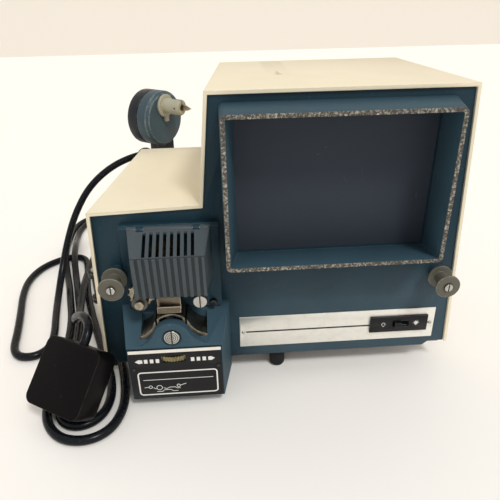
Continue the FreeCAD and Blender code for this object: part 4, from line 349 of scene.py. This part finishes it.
def ring_shade(place):
    """Painted shade in the turned rings and the slot of the framing screw's head."""
    low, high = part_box("framing_screw")
    rings = place.math("PINGPONG", from_axis(place, (low + high) / 2), RING_PITCH / 2)
    slot = between(along(place, "Y") - low.y / MM, *RING_SLOT)
    return place.math("MAXIMUM", between(rings, *RING_GROOVE), slot)


def stud_shade(place):
    """Painted shade in the slots and behind the heads of the rollers' studs."""
    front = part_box("film_studs")[0].y / MM
    side = along(place, "X")
    guide = between(side, *GUIDE_STUD_LEFT) * between(side, *GUIDE_STUD_RIGHT)
    return between(along(place, "Y") - (front + GUIDE_STUD_FRONT) + guide * GUIDE_STUD_FRONT, *STUD_SLOT)


def drum_hub_shade(place):
    """Painted shade on the film drum's hub, between its toothed ring and its bright cap."""
    depth = depth_behind_face(place)
    return between(depth, *DRUM_CAP_END) * between(depth, *DRUM_RING) * DRUM_SHARE


def painted_light_below_screen(place):
    """Painted light on the paint below the screen, patchy with a broad noise."""
    low = between(along(place, "Z"), *BELOW_SCREEN) * between(along(place, "X"), *RIGHT_OF_GATE)
    front = between(depth_behind_face(place), *ON_FACE)
    return low * front * (noise(place, 26, detail=6, roughness=0.6) * 0.5 + 0.3)


def dent_shade(place):
    """Painted shade in the dent of the case's top."""
    across = between(along(place, "X"), *DENT_LEFT) * between(along(place, "X"), *DENT_RIGHT)
    front, back = (between(depth_behind_face(place), *end) for end in (DENT_FRONT, DENT_BACK))
    return across * (front * back) * between(along(place, "Z"), *DENT_BOTTOM) * DENT_SHARE


def switch_slot_shade(place):
    """Painted shade blackens the name plate's edges where the switch passes through it."""
    across = between(along(place, "X"), *SWITCH_LEFT) * between(along(place, "X"), *SWITCH_RIGHT)
    return across * between(along(place, "Z"), *SWITCH_LOW) * between(along(place, "Z"), *SWITCH_HIGH)


def label_dirt(place):
    """The small screws on the focus plate are black, and those further back are bright."""
    return between(depth_behind_face(place), *LABEL_SCREWS)


def worn_foil():
    """Silver foil on the hood's rim, flaked off in ragged patches down to the brown layer below it."""
    made, place, _ = start_finish("worn_foil")
    flakes = between(noise(place, 1.5, detail=10, roughness=0.78), 0.45, 0.51)
    creases = noise(place, 0.8, detail=5, roughness=0.7)
    dirt_and_painted_light = between(noise(place, 9, detail=5, roughness=0.6), 0.38, 0.64)
    silver = mix((0.52, 0.49, 0.42), (0.22, 0.20, 0.16), dirt_and_painted_light)
    bare = mix((0.022, 0.019, 0.016), (0.085, 0.074, 0.058), creases)
    base = mix(silver, bare, flakes)
    gloss = flakes * 0.3 + creases * 0.2 + 0.28
    shine = (1 - flakes) * 0.85
    return close_finish(made, base, gloss, creases - flakes * 1.5, 0.07, metallic=shine)


def screen_sheet():
    """The ground plastic sheet that the picture falls on: dark and smooth while the lamp is off."""
    made, place, _ = start_finish("screen_sheet")
    haze = noise(place, 55, detail=3)
    lines = noise(place, 1.4, detail=2, stretch=(1, 1, 0.04))
    dust = between(noise(place, 0.7, detail=2), 0.76, 0.82)
    scratch = noise(place, 24, detail=1.5, roughness=0.4, stretch=(1, 1, 0.7))
    scratched = between(scratch.math("PINGPONG", scratch, 0.11), 0.0022, 0.0008)
    scratched = scratched * between(noise(place, 11, detail=3), 0.60, 0.66)
    base = mix((0.030, 0.038, 0.052), (0.037, 0.044, 0.058), haze)
    base = mix(base, (0.16, 0.17, 0.19), place.math("MAXIMUM", dust * 0.35, scratched * 0.7))
    return close_finish(made, base, haze * 0.1 + dust * 0.2 + 0.4, lines, 0.002, specular_ior_level=0.12)


def cord_sheath():
    """The cord's plastic sheath: nearly black, softly glossy, with dust and handling marks."""
    made, place, _ = start_finish("cord_black")
    dust = between(noise(place, 2.2, detail=8, roughness=0.7), 0.55, 0.75)
    skin = noise(place, 0.5, detail=2)
    base = mix((0.005, 0.006, 0.008), (0.040, 0.042, 0.044), dust * 0.5)
    return close_finish(made, base, dust * 0.25 + skin * 0.08 + 0.2, skin, 0.01, specular_ior_level=0.16)


def optical(name, colour, roughness):
    """Clear glass parts and mirrors: clean, with a few specks of dust."""
    made, place, _ = start_finish(name)
    dust = between(noise(place, 0.8, detail=2), 0.72, 0.8)
    haze = noise(place, 12, detail=3)
    base = mix(colour, tuple(0.8 * part for part in colour), dust)
    constants = {"transmission_weight": 1.0} if name == "lens_glass" else {"metallic": 1.0}
    return close_finish(made, base, dust * 0.3 + haze * 0.03 + roughness, haze, 0.001, **constants)


def ink(name, colour, roughness=0.5):
    """Screen-printed ink, thinned in places by wiping."""
    made, place, _ = start_finish(name)
    wiped = between(noise(place, 1.6, detail=7, roughness=0.7), 0.58, 0.72)
    base = mix(colour, tuple(0.35 * part + 0.02 for part in colour), wiped * 0.5)
    return close_finish(made, base, wiped * 0.2 + roughness, wiped, 0.003)


def make_finishes():
    """One finish for each material slot of the record."""
    along_x, along_z = (0.05, 1, 1), (1, 1, 0.06)
    return {
        # Paler eased edges: rubbed paint, and a painted highlight where they catch the light.
        "blue_paint": coated(
            "blue_paint", (0.012, 0.037, 0.054), (0.12, 0.17, 0.20), 0.47, shine=0.2, marks=0.35, wear_and_highlight=0.85,
            # painted light below the screen, in a paler blue
            dirt_and_painted_light=painted_light_below_screen, painted_light_colour=(0.058, 0.094, 0.118)),
        "blue_plastic": coated(
            "blue_plastic", (0.040, 0.082, 0.110), (0.15, 0.20, 0.23), 0.58, depth=0.015, marks=0.4,
            shine=0.15),
        "cream_plastic": coated(
            "cream_plastic", (0.80, 0.715, 0.535), (0.60, 0.50, 0.33), 0.55, skin=0.5, depth=0.045, marks=0.12,
            # painted shade in the dent of the top, in a darker brown
            shine=0.4, cloud=0.95, dirt_and_painted_light=dent_shade, painted_light_colour=(0.42, 0.345, 0.225)),
        "base_steel": metal("base_steel", (0.33, 0.33, 0.34), (0.16, 0.14, 0.12), 0.42),
        "foot_rubber": coated("foot_rubber", (0.010, 0.010, 0.011), (0.06, 0.06, 0.06), 0.7, wear_and_highlight=0.3),
        "screw_steel": metal(
            "screw_steel", (0.50, 0.49, 0.46), (0.14, 0.12, 0.10), 0.32, size=0.3, spots=0.6, dirt_and_painted_light=label_dirt),
        "worn_foil": worn_foil(),
        "screen_sheet": screen_sheet(),
        "mirror_glass": optical("mirror_glass", (0.9, 0.9, 0.9), 0.03),
        "lens_glass": optical("lens_glass", (0.93, 0.95, 0.97), 0.02),
        # painted shade in the switch's slot through the plate
        "name_aluminium": metal(
            "name_aluminium", (0.84, 0.82, 0.76), (0.66, 0.61, 0.50), 0.36, grain=along_x, size=0.35, spots=0.3,
            bare=0.45, dirt_and_painted_light=switch_slot_shade),
        "label_black": coated(
            "label_black", (0.006, 0.006, 0.007), (0.09, 0.09, 0.09), 0.36, depth=0.006, marks=0.35),
        # Its bright eased edges are a painted highlight.
        "gate_chrome": metal(
            "gate_chrome", (0.25, 0.225, 0.18), (0.11, 0.088, 0.062), 0.34, grain=along_z, spots=0.5,
            depth=0.006, wear_and_highlight=1.0, edge_polish_and_highlight=2.8),
        "wheel_brass": metal("wheel_brass", (0.38, 0.33, 0.18), (0.15, 0.115, 0.055), 0.4, spots=0.6),
        "barrel_black": coated("barrel_black", (0.007, 0.007, 0.008), (0.2, 0.19, 0.17), 0.4, depth=0.008),
        "film_steel": metal("film_steel", (0.32, 0.28, 0.18), (0.12, 0.09, 0.045), 0.36, spots=0.65, size=0.4),
        "roller_grey": coated("roller_grey", (0.11, 0.103, 0.08), (0.30, 0.28, 0.24), 0.45, wear_and_highlight=0.7),
        # painted shade on the floors of the flutes
        "lamp_grey": coated(
            "lamp_grey", (0.056, 0.072, 0.081), (0.22, 0.24, 0.245), 0.42, depth=0.015, wear_and_highlight=0.85, marks=0.2,
            dirt_and_painted_light=flute_shade),
        "black_plastic": coated("black_plastic", (0.006, 0.006, 0.007), (0.07, 0.07, 0.07), 0.38, depth=0.012),
        "cord_black": cord_sheath(),
        "plug_black": coated(
            "plug_black", (0.0045, 0.0035, 0.0035), (0.045, 0.038, 0.034), 0.36, skin=0.8, depth=0.02,
            marks=0.5, shine=0.08),
        "pin_brass": metal("pin_brass", (0.66, 0.50, 0.25), (0.30, 0.20, 0.10), 0.3, grain=along_z),
        "core_iron": metal("core_iron", (0.24, 0.22, 0.20), (0.25, 0.10, 0.04), 0.5, grain=along_z, size=1.0),
        "arm_steel": coated("arm_steel", (0.014, 0.016, 0.018), (0.22, 0.21, 0.2), 0.42, wear_and_highlight=0.8),
        "unit_blue": coated("unit_blue", (0.045, 0.075, 0.092), (0.2, 0.23, 0.24), 0.42, wear_and_highlight=0.7),
        "wheel_dark": coated("wheel_dark", (0.013, 0.016, 0.021), (0.12, 0.12, 0.13), 0.38, wear_and_highlight=0.7),
        "spindle_cream": coated(
            "spindle_cream", (0.38, 0.36, 0.27), (0.22, 0.18, 0.12), 0.42, skin=0.6, marks=0.4),
        "latch_steel": metal("latch_steel", (0.36, 0.28, 0.19), (0.14, 0.09, 0.05), 0.38, spots=0.7),
    }


def make_head_finishes():
    """The finishes of single pieces: painted shade in their rings, slots and hub, painted highlight on the
    pressure plate.
    """
    steel, dull = (0.52, 0.51, 0.48), (0.20, 0.18, 0.15)
    return {
        # painted shade in its rings and slot
        "framing_screw": metal("turned_steel", steel, dull, 0.28, size=0.3, dirt_and_painted_light=ring_shade),
        # painted shade in the slots and behind the heads
        "film_studs": metal("stud_steel", steel, dull, 0.3, size=0.3, dirt_and_painted_light=stud_shade),
        # Its bright eased edges are a painted highlight along the lip.
        "pressure_plate": metal(
            "press_steel", (0.17, 0.145, 0.11), (0.085, 0.066, 0.045), 0.38, wear_and_highlight=1.0, edge_polish_and_highlight=4.0),
        # painted shade on the hub
        "film_sprocket": metal(
            "drum_steel", (0.42, 0.38, 0.29), (0.12, 0.09, 0.045), 0.36, spots=0.65, size=0.4, dirt_and_painted_light=drum_hub_shade),
    }


# ---------------------------------------------------------------- eased copies of the CAD pieces

# How far each edge is eased, in millimetres.
EASED = {
    "rear_shell": 0.9, "front_panel": 0.45, "screen_hood": 0.7, "gate_housing": 1.0, "lamp_plinth": 0.5,
    "lamp_house": 0.45, "focus_plate": 0.15, "nameplate": 0.12, "switch_bezel": 0.3, "switch_slider": 0.35,
    "base_plate": 0.4, "rubber_feet": 0.7, "film_gate": 0.2, "pressure_plate": 0.2, "lens_barrel": 0.3,
    "framing_screw": 0.2, "film_studs": 0.25, "panel_screws": 0.15, "marker_button": 0.4, "film_sprocket": 0.15,
    "left_film_roller": 0.3, "right_film_roller": 0.3, "guide_roller": 0.3, "cord_gland": 0.5, "cord_peg": 0.6,
    "plug_body": 1.6, "plug_pins": 0.5, "arm_brackets": 0.35, "transformer": 0.4,
    "left_arm": 0.4, "right_arm": 0.4, "left_gear_housing": 1.1, "right_gear_housing": 1.1,
    "left_crank_wheel": 1.1, "right_crank_wheel": 1.1, "left_crank_knob": 0.5, "right_crank_knob": 0.5,
    "left_spindle": 0.4, "right_spindle": 0.4, "left_spindle_latch": 0.15, "right_spindle_latch": 0.15,
}
EASED_ANGLE = math.radians(34)
COVER_STEPS = ((0.92, 0), (0.97, 0.5), (0.8, 0.4), (0.6, 0.25))  # share of the last outline, and millimetres up
MERGE = 0.004 * MM
FLAT = math.radians(0.4)


def shown_mesh(piece):
    """The mesh that a piece's modifiers make."""
    seen = bpy.context.evaluated_depsgraph_get()
    return bpy.data.meshes.new_from_object(piece.evaluated_get(seen))


def raise_cover(shape):
    """The plug's lid: a shallow step inside the edge of its broad face, and a slight dome within it."""
    lid = max(shape.faces, key=lambda face: face.calc_area())
    up = lid.normal.copy()
    middle = lid.calc_center_median()
    for share, rise in COVER_STEPS:
        lid = bmesh.ops.extrude_discrete_faces(shape, faces=[lid])["faces"][0]
        for vertex in lid.verts:
            vertex.co = middle + (vertex.co - middle) * share + up * rise * MM


def ease(node, finish):
    """A copy of a CAD piece with its edges eased and marked, where paint rubs through and edge highlights are
    painted. It stands for that piece.
    """
    mesh = NODES[node].data.copy()
    shape = bmesh.new()
    shape.from_mesh(mesh)
    bmesh.ops.remove_doubles(shape, verts=shape.verts, dist=MERGE)
    bmesh.ops.dissolve_limit(shape, angle_limit=FLAT, verts=shape.verts, edges=shape.edges)
    if node == "plug_body":
        raise_cover(shape)
    shape.to_mesh(mesh)
    shape.free()
    mesh.materials.clear()
    for _ in range(2):
        mesh.materials.append(finish)
    mesh.polygons.foreach_set("material_index", [0] * len(mesh.polygons))
    mesh.polygons.foreach_set("use_smooth", [True] * len(mesh.polygons))
    piece = bpy.data.objects.new(node + "_eased", mesh)
    bpy.context.scene.collection.objects.link(piece)
    easing = piece.modifiers.new("easing", "BEVEL")
    easing.width = EASED[node] * MM
    easing.segments = 2
    easing.limit_method = "ANGLE"
    easing.angle_limit = EASED_ANGLE
    easing.material = 1
    easing.harden_normals = True
    eased = shown_mesh(piece)
    piece.modifiers.clear()
    eased_flags = [float(face.material_index == 1) for face in eased.polygons]
    eased.attributes.new(EDGE, "FLOAT", "FACE").data.foreach_set("value", eased_flags)
    eased.polygons.foreach_set("material_index", [0] * len(eased_flags))
    eased.materials.pop(index=1)
    piece.data = eased
    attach(piece, NODES[node]["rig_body"])
    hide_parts(node)


def finish_nodes(finishes):
    """Gives each CAD piece its finish, on an eased copy where its edges show."""
    own = make_head_finishes()
    for node, piece in NODES.items():
        finish = own.get(node, finishes[SLOT_OF[node]])
        if node in EASED:
            ease(node, finish)
        for holder in piece.material_slots:
            holder.material = finish


# ---------------------------------------------------------------- printed marks

WHITE_INK = (0.72, 0.71, 0.67)
BLACK_INK = (0.012, 0.012, 0.013)
INK = 0.05  # thickness of the ink
SUNK = 0.03  # how far it starts behind the face, so that no gap shows


def arc(x, z, radius, start=0, end=360, steps=24):
    """Points round a centre, by degrees, the last one left out on a whole circle."""
    count = steps if end - start == 360 else steps + 1
    turns = [math.radians(start + (end - start) * i / steps) for i in range(count)]
    return [(x + radius * math.cos(turn), z + radius * math.sin(turn)) for turn in turns]


def rounded(left, low, right, high, radius):
    """The outline of a rectangle with round corners."""
    corners = ((right, low, -90), (right, high, 0), (left, high, 90), (left, low, 180))
    points = []
    for x, z, start in corners:
        inward_x = -radius if x == right else radius
        inward_z = radius if z == low else -radius
        points += arc(x + inward_x, z + inward_z, radius, start, start + 90, 6)
    return points


class Print:
    """Ink on the front of an upright plate, drawn in the plate's own x and height, in millimetres."""

    def __init__(self, node, thick=INK):
        self.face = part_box(node)[0].y
        self.thick = thick
        self.shape = bmesh.new()

    def point(self, x, z, forward):
        return self.shape.verts.new((x * MM, self.face - forward * MM, z * MM))

    def patch(self, outline):
        """A filled outline, given either way round."""
        front = [self.point(x, z, self.thick) for x, z in outline]
        back = [self.point(x, z, -SUNK) for x, z in outline]
        self.shape.faces.new(front)
        self.shape.faces.new(back[::-1])
        for i in range(len(outline)):
            self.shape.faces.new((back[i - 1], back[i], front[i], front[i - 1]))

    def line(self, points, width, closed=False):
        """A line of one width through the points."""
        sides = []
        for i, (x, z) in enumerate(points):
            before = points[i - 1] if closed or i else points[i]
            after = points[(i + 1) % len(points)] if closed or i + 1 < len(points) else points[i]
            ahead = Vector((after[0] - before[0], after[1] - before[1])).normalized()
            across = Vector((-ahead.y, ahead.x)) * width / 2
            sides.append(((x + across.x, z + across.y), (x - across.x, z - across.y)))
        rings = [
            [self.point(*a, self.thick), self.point(*b, self.thick),
             self.point(*b, -SUNK), self.point(*a, -SUNK)]
            for a, b in sides
        ]
        for i in range(0 if closed else 1, len(rings)):
            for j in range(4):
                self.shape.faces.new((rings[i - 1][j - 1], rings[i - 1][j], rings[i][j], rings[i][j - 1]))
        if not closed:
            self.shape.faces.new(rings[0])
            self.shape.faces.new(rings[-1][::-1])

    def finish(self, name, finish, slot):
        """Closes the drawing as one piece on the case."""
        bmesh.ops.recalc_face_normals(self.shape, faces=self.shape.faces)
        mesh = bpy.data.meshes.new(name)
        self.shape.to_mesh(mesh)
        self.shape.free()
        mesh.materials.append(finish)
        piece = bpy.data.objects.new(name, mesh)
        bpy.context.scene.collection.objects.link(piece)
        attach(piece, "case")
        return piece


def repeat_tree():
    """A Geometry Nodes tree that repeats its object along a straight step, each copy smaller than the last."""
    tree = bpy.data.node_groups.new("repeat_along", "GeometryNodeTree")
    tree.interface.new_socket("Unit", in_out="INPUT", socket_type="NodeSocketGeometry")
    tree.interface.new_socket("Count", in_out="INPUT", socket_type="NodeSocketInt")
    tree.interface.new_socket("Step", in_out="INPUT", socket_type="NodeSocketVector")
    tree.interface.new_socket("Shrink", in_out="INPUT", socket_type="NodeSocketFloat")
    tree.interface.new_socket("Finish", in_out="INPUT", socket_type="NodeSocketMaterial")
    tree.interface.new_socket("Row", in_out="OUTPUT", socket_type="NodeSocketGeometry")
    make = tree.nodes.new
    start, end = make("NodeGroupInput"), make("NodeGroupOutput")
    points, copies = make("GeometryNodeMeshLine"), make("GeometryNodeInstanceOnPoints")
    index, shrink, keep = make("GeometryNodeInputIndex"), make("ShaderNodeMath"), make("ShaderNodeMath")
    real, paint = make("GeometryNodeRealizeInstances"), make("GeometryNodeSetMaterial")
    shrink.operation = "MULTIPLY"
    keep.operation = "SUBTRACT"
    keep.inputs[0].default_value = 1
    for source, target in (
        (start.outputs["Count"], points.inputs["Count"]),
        (start.outputs["Step"], points.inputs["Offset"]),
        (index.outputs[0], shrink.inputs[0]),
        (start.outputs["Shrink"], shrink.inputs[1]),
        (shrink.outputs[0], keep.inputs[1]),
        (points.outputs[0], copies.inputs["Points"]),
        (start.outputs["Unit"], copies.inputs["Instance"]),
        (keep.outputs[0], copies.inputs["Scale"]),
        (copies.outputs[0], real.inputs[0]),
        (real.outputs[0], paint.inputs["Geometry"]),
        (start.outputs["Finish"], paint.inputs["Material"]),
        (paint.outputs[0], end.inputs[0]),
    ):
        tree.links.new(source, target)
    return tree


def repeat(piece, tree, count, step, shrink, origin, finish):
    """Runs the tree on a piece whose unit sits about `origin`, and keeps the row as its plain mesh."""
    piece.data.transform(Matrix.Translation(-origin))
    row = piece.modifiers.new("row", "NODES")
    row.node_group = tree
    values = {"Count": count, "Step": step, "Shrink": shrink, "Finish": finish}
    for socket in tree.interface.items_tree:
        if socket.name in values:
            row[socket.identifier] = values[socket.name]
    repeated = shown_mesh(piece)
    piece.modifiers.clear()
    repeated.transform(Matrix.Translation(origin))
    piece.data = repeated


# Marks on the focus plate, in the plate's x and height.
BLOCK = (2.3, 3.1)
BLOCK_Z = 41.4
BLOCKS_LEFT_X = -92.4
BLOCKS_RIGHT_X = -61.6
BLOCK_PITCH = 3.85
BLOCKS = 3
ARROW_LEFT_X = (-98.4, -96.0, -93.5)  # tip, widest place and tail
ARROW_RIGHT_X = (-45.7, -48.0, -50.1)
ARROW_WIDEST, ARROW_TAIL = 1.6, 1.35  # half widths
STRIP = (-102.0, 48.1, -41.5, 50.5)
STRIP_THICK = 0.25
CARD = (-97.6, 12.5, -44.9, 31.9, 2.2)
CARD_LINE = 0.95
RULE = ((-94.6, 25.4), (-47.6, 25.4))
THIN_LINE = 0.42
# The film's way past its rollers, as a small diagram.
FILM_PATH = (
    ((-94.4, 18.9), (-91.6, 19.2)),
    ((-81.6, 18.0), (-79.6, 17.1), (-77.6, 18.3), (-73.9, 18.3), (-72.6, 17.2), (-70.3, 17.2)),
    ((-88.6, 18.6), (-86.6, 17.3)),
    ((-70.0, 19.6), (-66.2, 21.0)),
    ((-86.4, 14.9), (-82.6, 14.9), (-81.2, 16.2), (-76.8, 16.2), (-75.4, 14.9), (-72.0, 14.9)),
)
FILM_ROLLERS = ((-90.3, 19.2, 1.1), (-84.4, 18.4, 1.9), (-71.4, 19.4, 1.1))


def arrow(tip, widest, tail):
    """The outline of a block arrow, from its tip round its upper and then its lower side."""
    upper = ((widest, BLOCK_Z + ARROW_WIDEST), (tail, BLOCK_Z + ARROW_TAIL))
    lower = ((tail, BLOCK_Z - ARROW_TAIL), (widest, BLOCK_Z - ARROW_WIDEST))
    return ((tip, BLOCK_Z), *upper, *lower)


def print_focus_plate(white, silver, tree):
    """The bright strip, the arrows of blocks beside the focus wheel, and the threading card below them."""
    marks = Print("focus_plate")
    marks.patch(arrow(*ARROW_LEFT_X))
    marks.patch(arrow(*ARROW_RIGHT_X))
    marks.line(rounded(*CARD), CARD_LINE, closed=True)
    marks.line(RULE, THIN_LINE)
    for way in FILM_PATH:
        marks.line(way, THIN_LINE)
    for x, z, radius in FILM_ROLLERS:
        marks.line(arc(x, z, radius, steps=20), THIN_LINE, closed=True)
    marks.finish("focus_plate_print", white, "label_black")
    for side, first in (("left", BLOCKS_LEFT_X), ("right", BLOCKS_RIGHT_X)):
        block = Print("focus_plate")
        width, high = BLOCK
        low = BLOCK_Z - high / 2
        block.patch(((first, low), (first + width, low), (first + width, low + high), (first, low + high)))
        piece = block.finish("focus_blocks_" + side, white, "label_black")
        corner = Vector((first * MM, block.face, low * MM))
        repeat(piece, tree, BLOCKS, (BLOCK_PITCH * MM, 0, 0), 0.0, corner, white)
    strip = Print("focus_plate", STRIP_THICK)
    left, low, right, high = STRIP
    strip.patch(((left, low), (right, low), (right, high), (left, high)))
    strip.finish("focus_plate_strip", silver, "name_aluminium")


NAME_LINE_Z = 37.3
NAME_LINE = 1.25
NAME_LINE_LEFT, NAME_LINE_RIGHT = 4.6, 4.2  # from the plate's ends
BULB_LEFT_X = 77.0
BULB_RIGHT_X = 101.2
BULB_Z = 38.7
BULB_RADIUS = 1.25
BULB_LINE = 0.35
BULB_BASE = (0.6, 1.7, 0.45)  # half width, distance below the middle, and line width
BULB_FILL = 0.9
RAYS = range(0, 181, 36)
RAY_REACH = (0.45, 1.05)
RAY_LINE = 0.3


def print_name_plate(black, white):
    """The rule along the name plate's middle, and the dim and bright lamp signs beside the switch."""
    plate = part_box("nameplate")
    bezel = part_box("switch_bezel")
    rule = Print("nameplate")
    start, end = plate[0].x / MM + NAME_LINE_LEFT, plate[1].x / MM - NAME_LINE_RIGHT
    rule.line(((start, NAME_LINE_Z), (bezel[0].x / MM, NAME_LINE_Z)), NAME_LINE)
    rule.line(((bezel[1].x / MM, NAME_LINE_Z), (end, NAME_LINE_Z)), NAME_LINE)
    rule.finish("name_plate_rule", black, "name_aluminium")
    signs = Print("switch_bezel")
    for x, bright in ((BULB_LEFT_X, False), (BULB_RIGHT_X, True)):
        glass = arc(x, BULB_Z, BULB_RADIUS, -55, 235, 20)
        signs.line(glass, BULB_LINE)
        half, below, base_line = BULB_BASE
        signs.line(((x - half, BULB_Z - below), (x + half, BULB_Z - below)), base_line)
        if bright:
            signs.patch(arc(x, BULB_Z, BULB_FILL * BULB_RADIUS, steps=16))
            for ray in RAYS:
                ends = [arc(x, BULB_Z, BULB_RADIUS + reach, ray, ray + 1, 1)[0] for reach in RAY_REACH]
                signs.line(ends, RAY_LINE)
    signs.finish("lamp_signs", white, "black_plastic")


BOOT_RIBS = 7
BOOT_RIB_STEP = 2.6
BOOT_RIB = 0.55
BOOT_RING = 5.3  # radius of the first ring
BOOT_TIP = 3  # bare end of the boot
BOOT_SHRINK = 0.032  # how much smaller each ring is, as a share of the first


def rib_boot(finish, tree):
    """Rings round the cord's boot, each smaller than the last, so that it bends before the cord does."""
    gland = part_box("cord_gland")
    middle = (gland[0] + gland[1]) / 2
    tip = gland[1].y - BOOT_TIP * MM
    first = Vector((middle.x, tip - (BOOT_RIBS - 1) * BOOT_RIB_STEP * MM, middle.z))
    bpy.ops.mesh.primitive_torus_add(
        major_radius=BOOT_RING * MM, minor_radius=BOOT_RIB * MM, major_segments=32, minor_segments=8,
        location=first, rotation=(math.radians(90), 0, 0))
    ring = bpy.context.object
    ring.name = "boot_ribs"
    ring.data.transform(ring.matrix_world)
    ring.matrix_world = Matrix.Identity(4)
    ring.data.polygons.foreach_set("use_smooth", [True] * len(ring.data.polygons))
    repeat(ring, tree, BOOT_RIBS, (0, BOOT_RIB_STEP * MM, 0), BOOT_SHRINK, first, finish)
    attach(ring, "case")


# ---------------------------------------------------------------- room

FLOOR_SIZE = 8.0
WALL_Y = 1.9
WALL_HEIGHT = 4.0
FLOOR_COLOUR = (0.93, 0.90, 0.855)
WALL_COLOUR = (0.80, 0.745, 0.67)
SKY = 0.76
SKY_COLOUR = (1, 0.985, 0.96)
SUN = 1.5
SUN_TURN = (math.radians(36), 0, math.radians(28.5))
SUN_SPREAD = math.radians(12)


def paper(name, colour):
    """The pale table and wall: plain, with only a faint drift of tone."""
    made, place, _ = start_finish(name)
    drift = noise(place, 900, detail=2)
    base = mix(colour, tuple(0.97 * part for part in colour), drift)
    return close_finish(made, base, drift * 0.05 + 0.6, drift, 0.001)


def set_room():
    """A pale table that runs back to a pale wall, under an even sky and a soft sun from the right front."""
    half = FLOOR_SIZE / 2
    sheets = {
        "table": ((-half, -half, 0), (half, -half, 0), (half, WALL_Y, 0), (-half, WALL_Y, 0)),
        "wall": (
            (-half, WALL_Y, 0), (half, WALL_Y, 0), (half, WALL_Y, WALL_HEIGHT), (-half, WALL_Y, WALL_HEIGHT)),
    }
    for name, corners in sheets.items():
        mesh = bpy.data.meshes.new(name)
        mesh.from_pydata(corners, [], [(0, 1, 2, 3)])
        mesh.materials.append(paper(name + "_paper", WALL_COLOUR if name == "wall" else FLOOR_COLOUR))
        sheet = bpy.data.objects.new(name, mesh)
        bpy.context.scene.collection.objects.link(sheet)
    world = bpy.data.worlds.new("sky")
    world.use_nodes = True
    world.node_tree.nodes["Background"].inputs["Color"].default_value = (*SKY_COLOUR, 1)
    world.node_tree.nodes["Background"].inputs["Strength"].default_value = SKY
    bpy.context.scene.world = world
    sun = bpy.data.lights.new("sun", "SUN")
    sun.energy = SUN
    sun.angle = SUN_SPREAD
    holder = bpy.data.objects.new("sun", sun)
    holder.rotation_euler = SUN_TURN
    bpy.context.scene.collection.objects.link(holder)


# ---------------------------------------------------------------- making

set_camera()
finishes = make_finishes()
finish_nodes(finishes)
lay_cord(finishes["cord_black"])
white_ink = ink("white_ink", WHITE_INK)
black_ink = ink("black_ink", BLACK_INK)
row_tree = repeat_tree()
print_focus_plate(white_ink, finishes["name_aluminium"], row_tree)
print_name_plate(black_ink, white_ink)
rib_boot(finishes["foot_rubber"], row_tree)
set_room()
bpy.context.scene.view_settings.view_transform = "Standard"
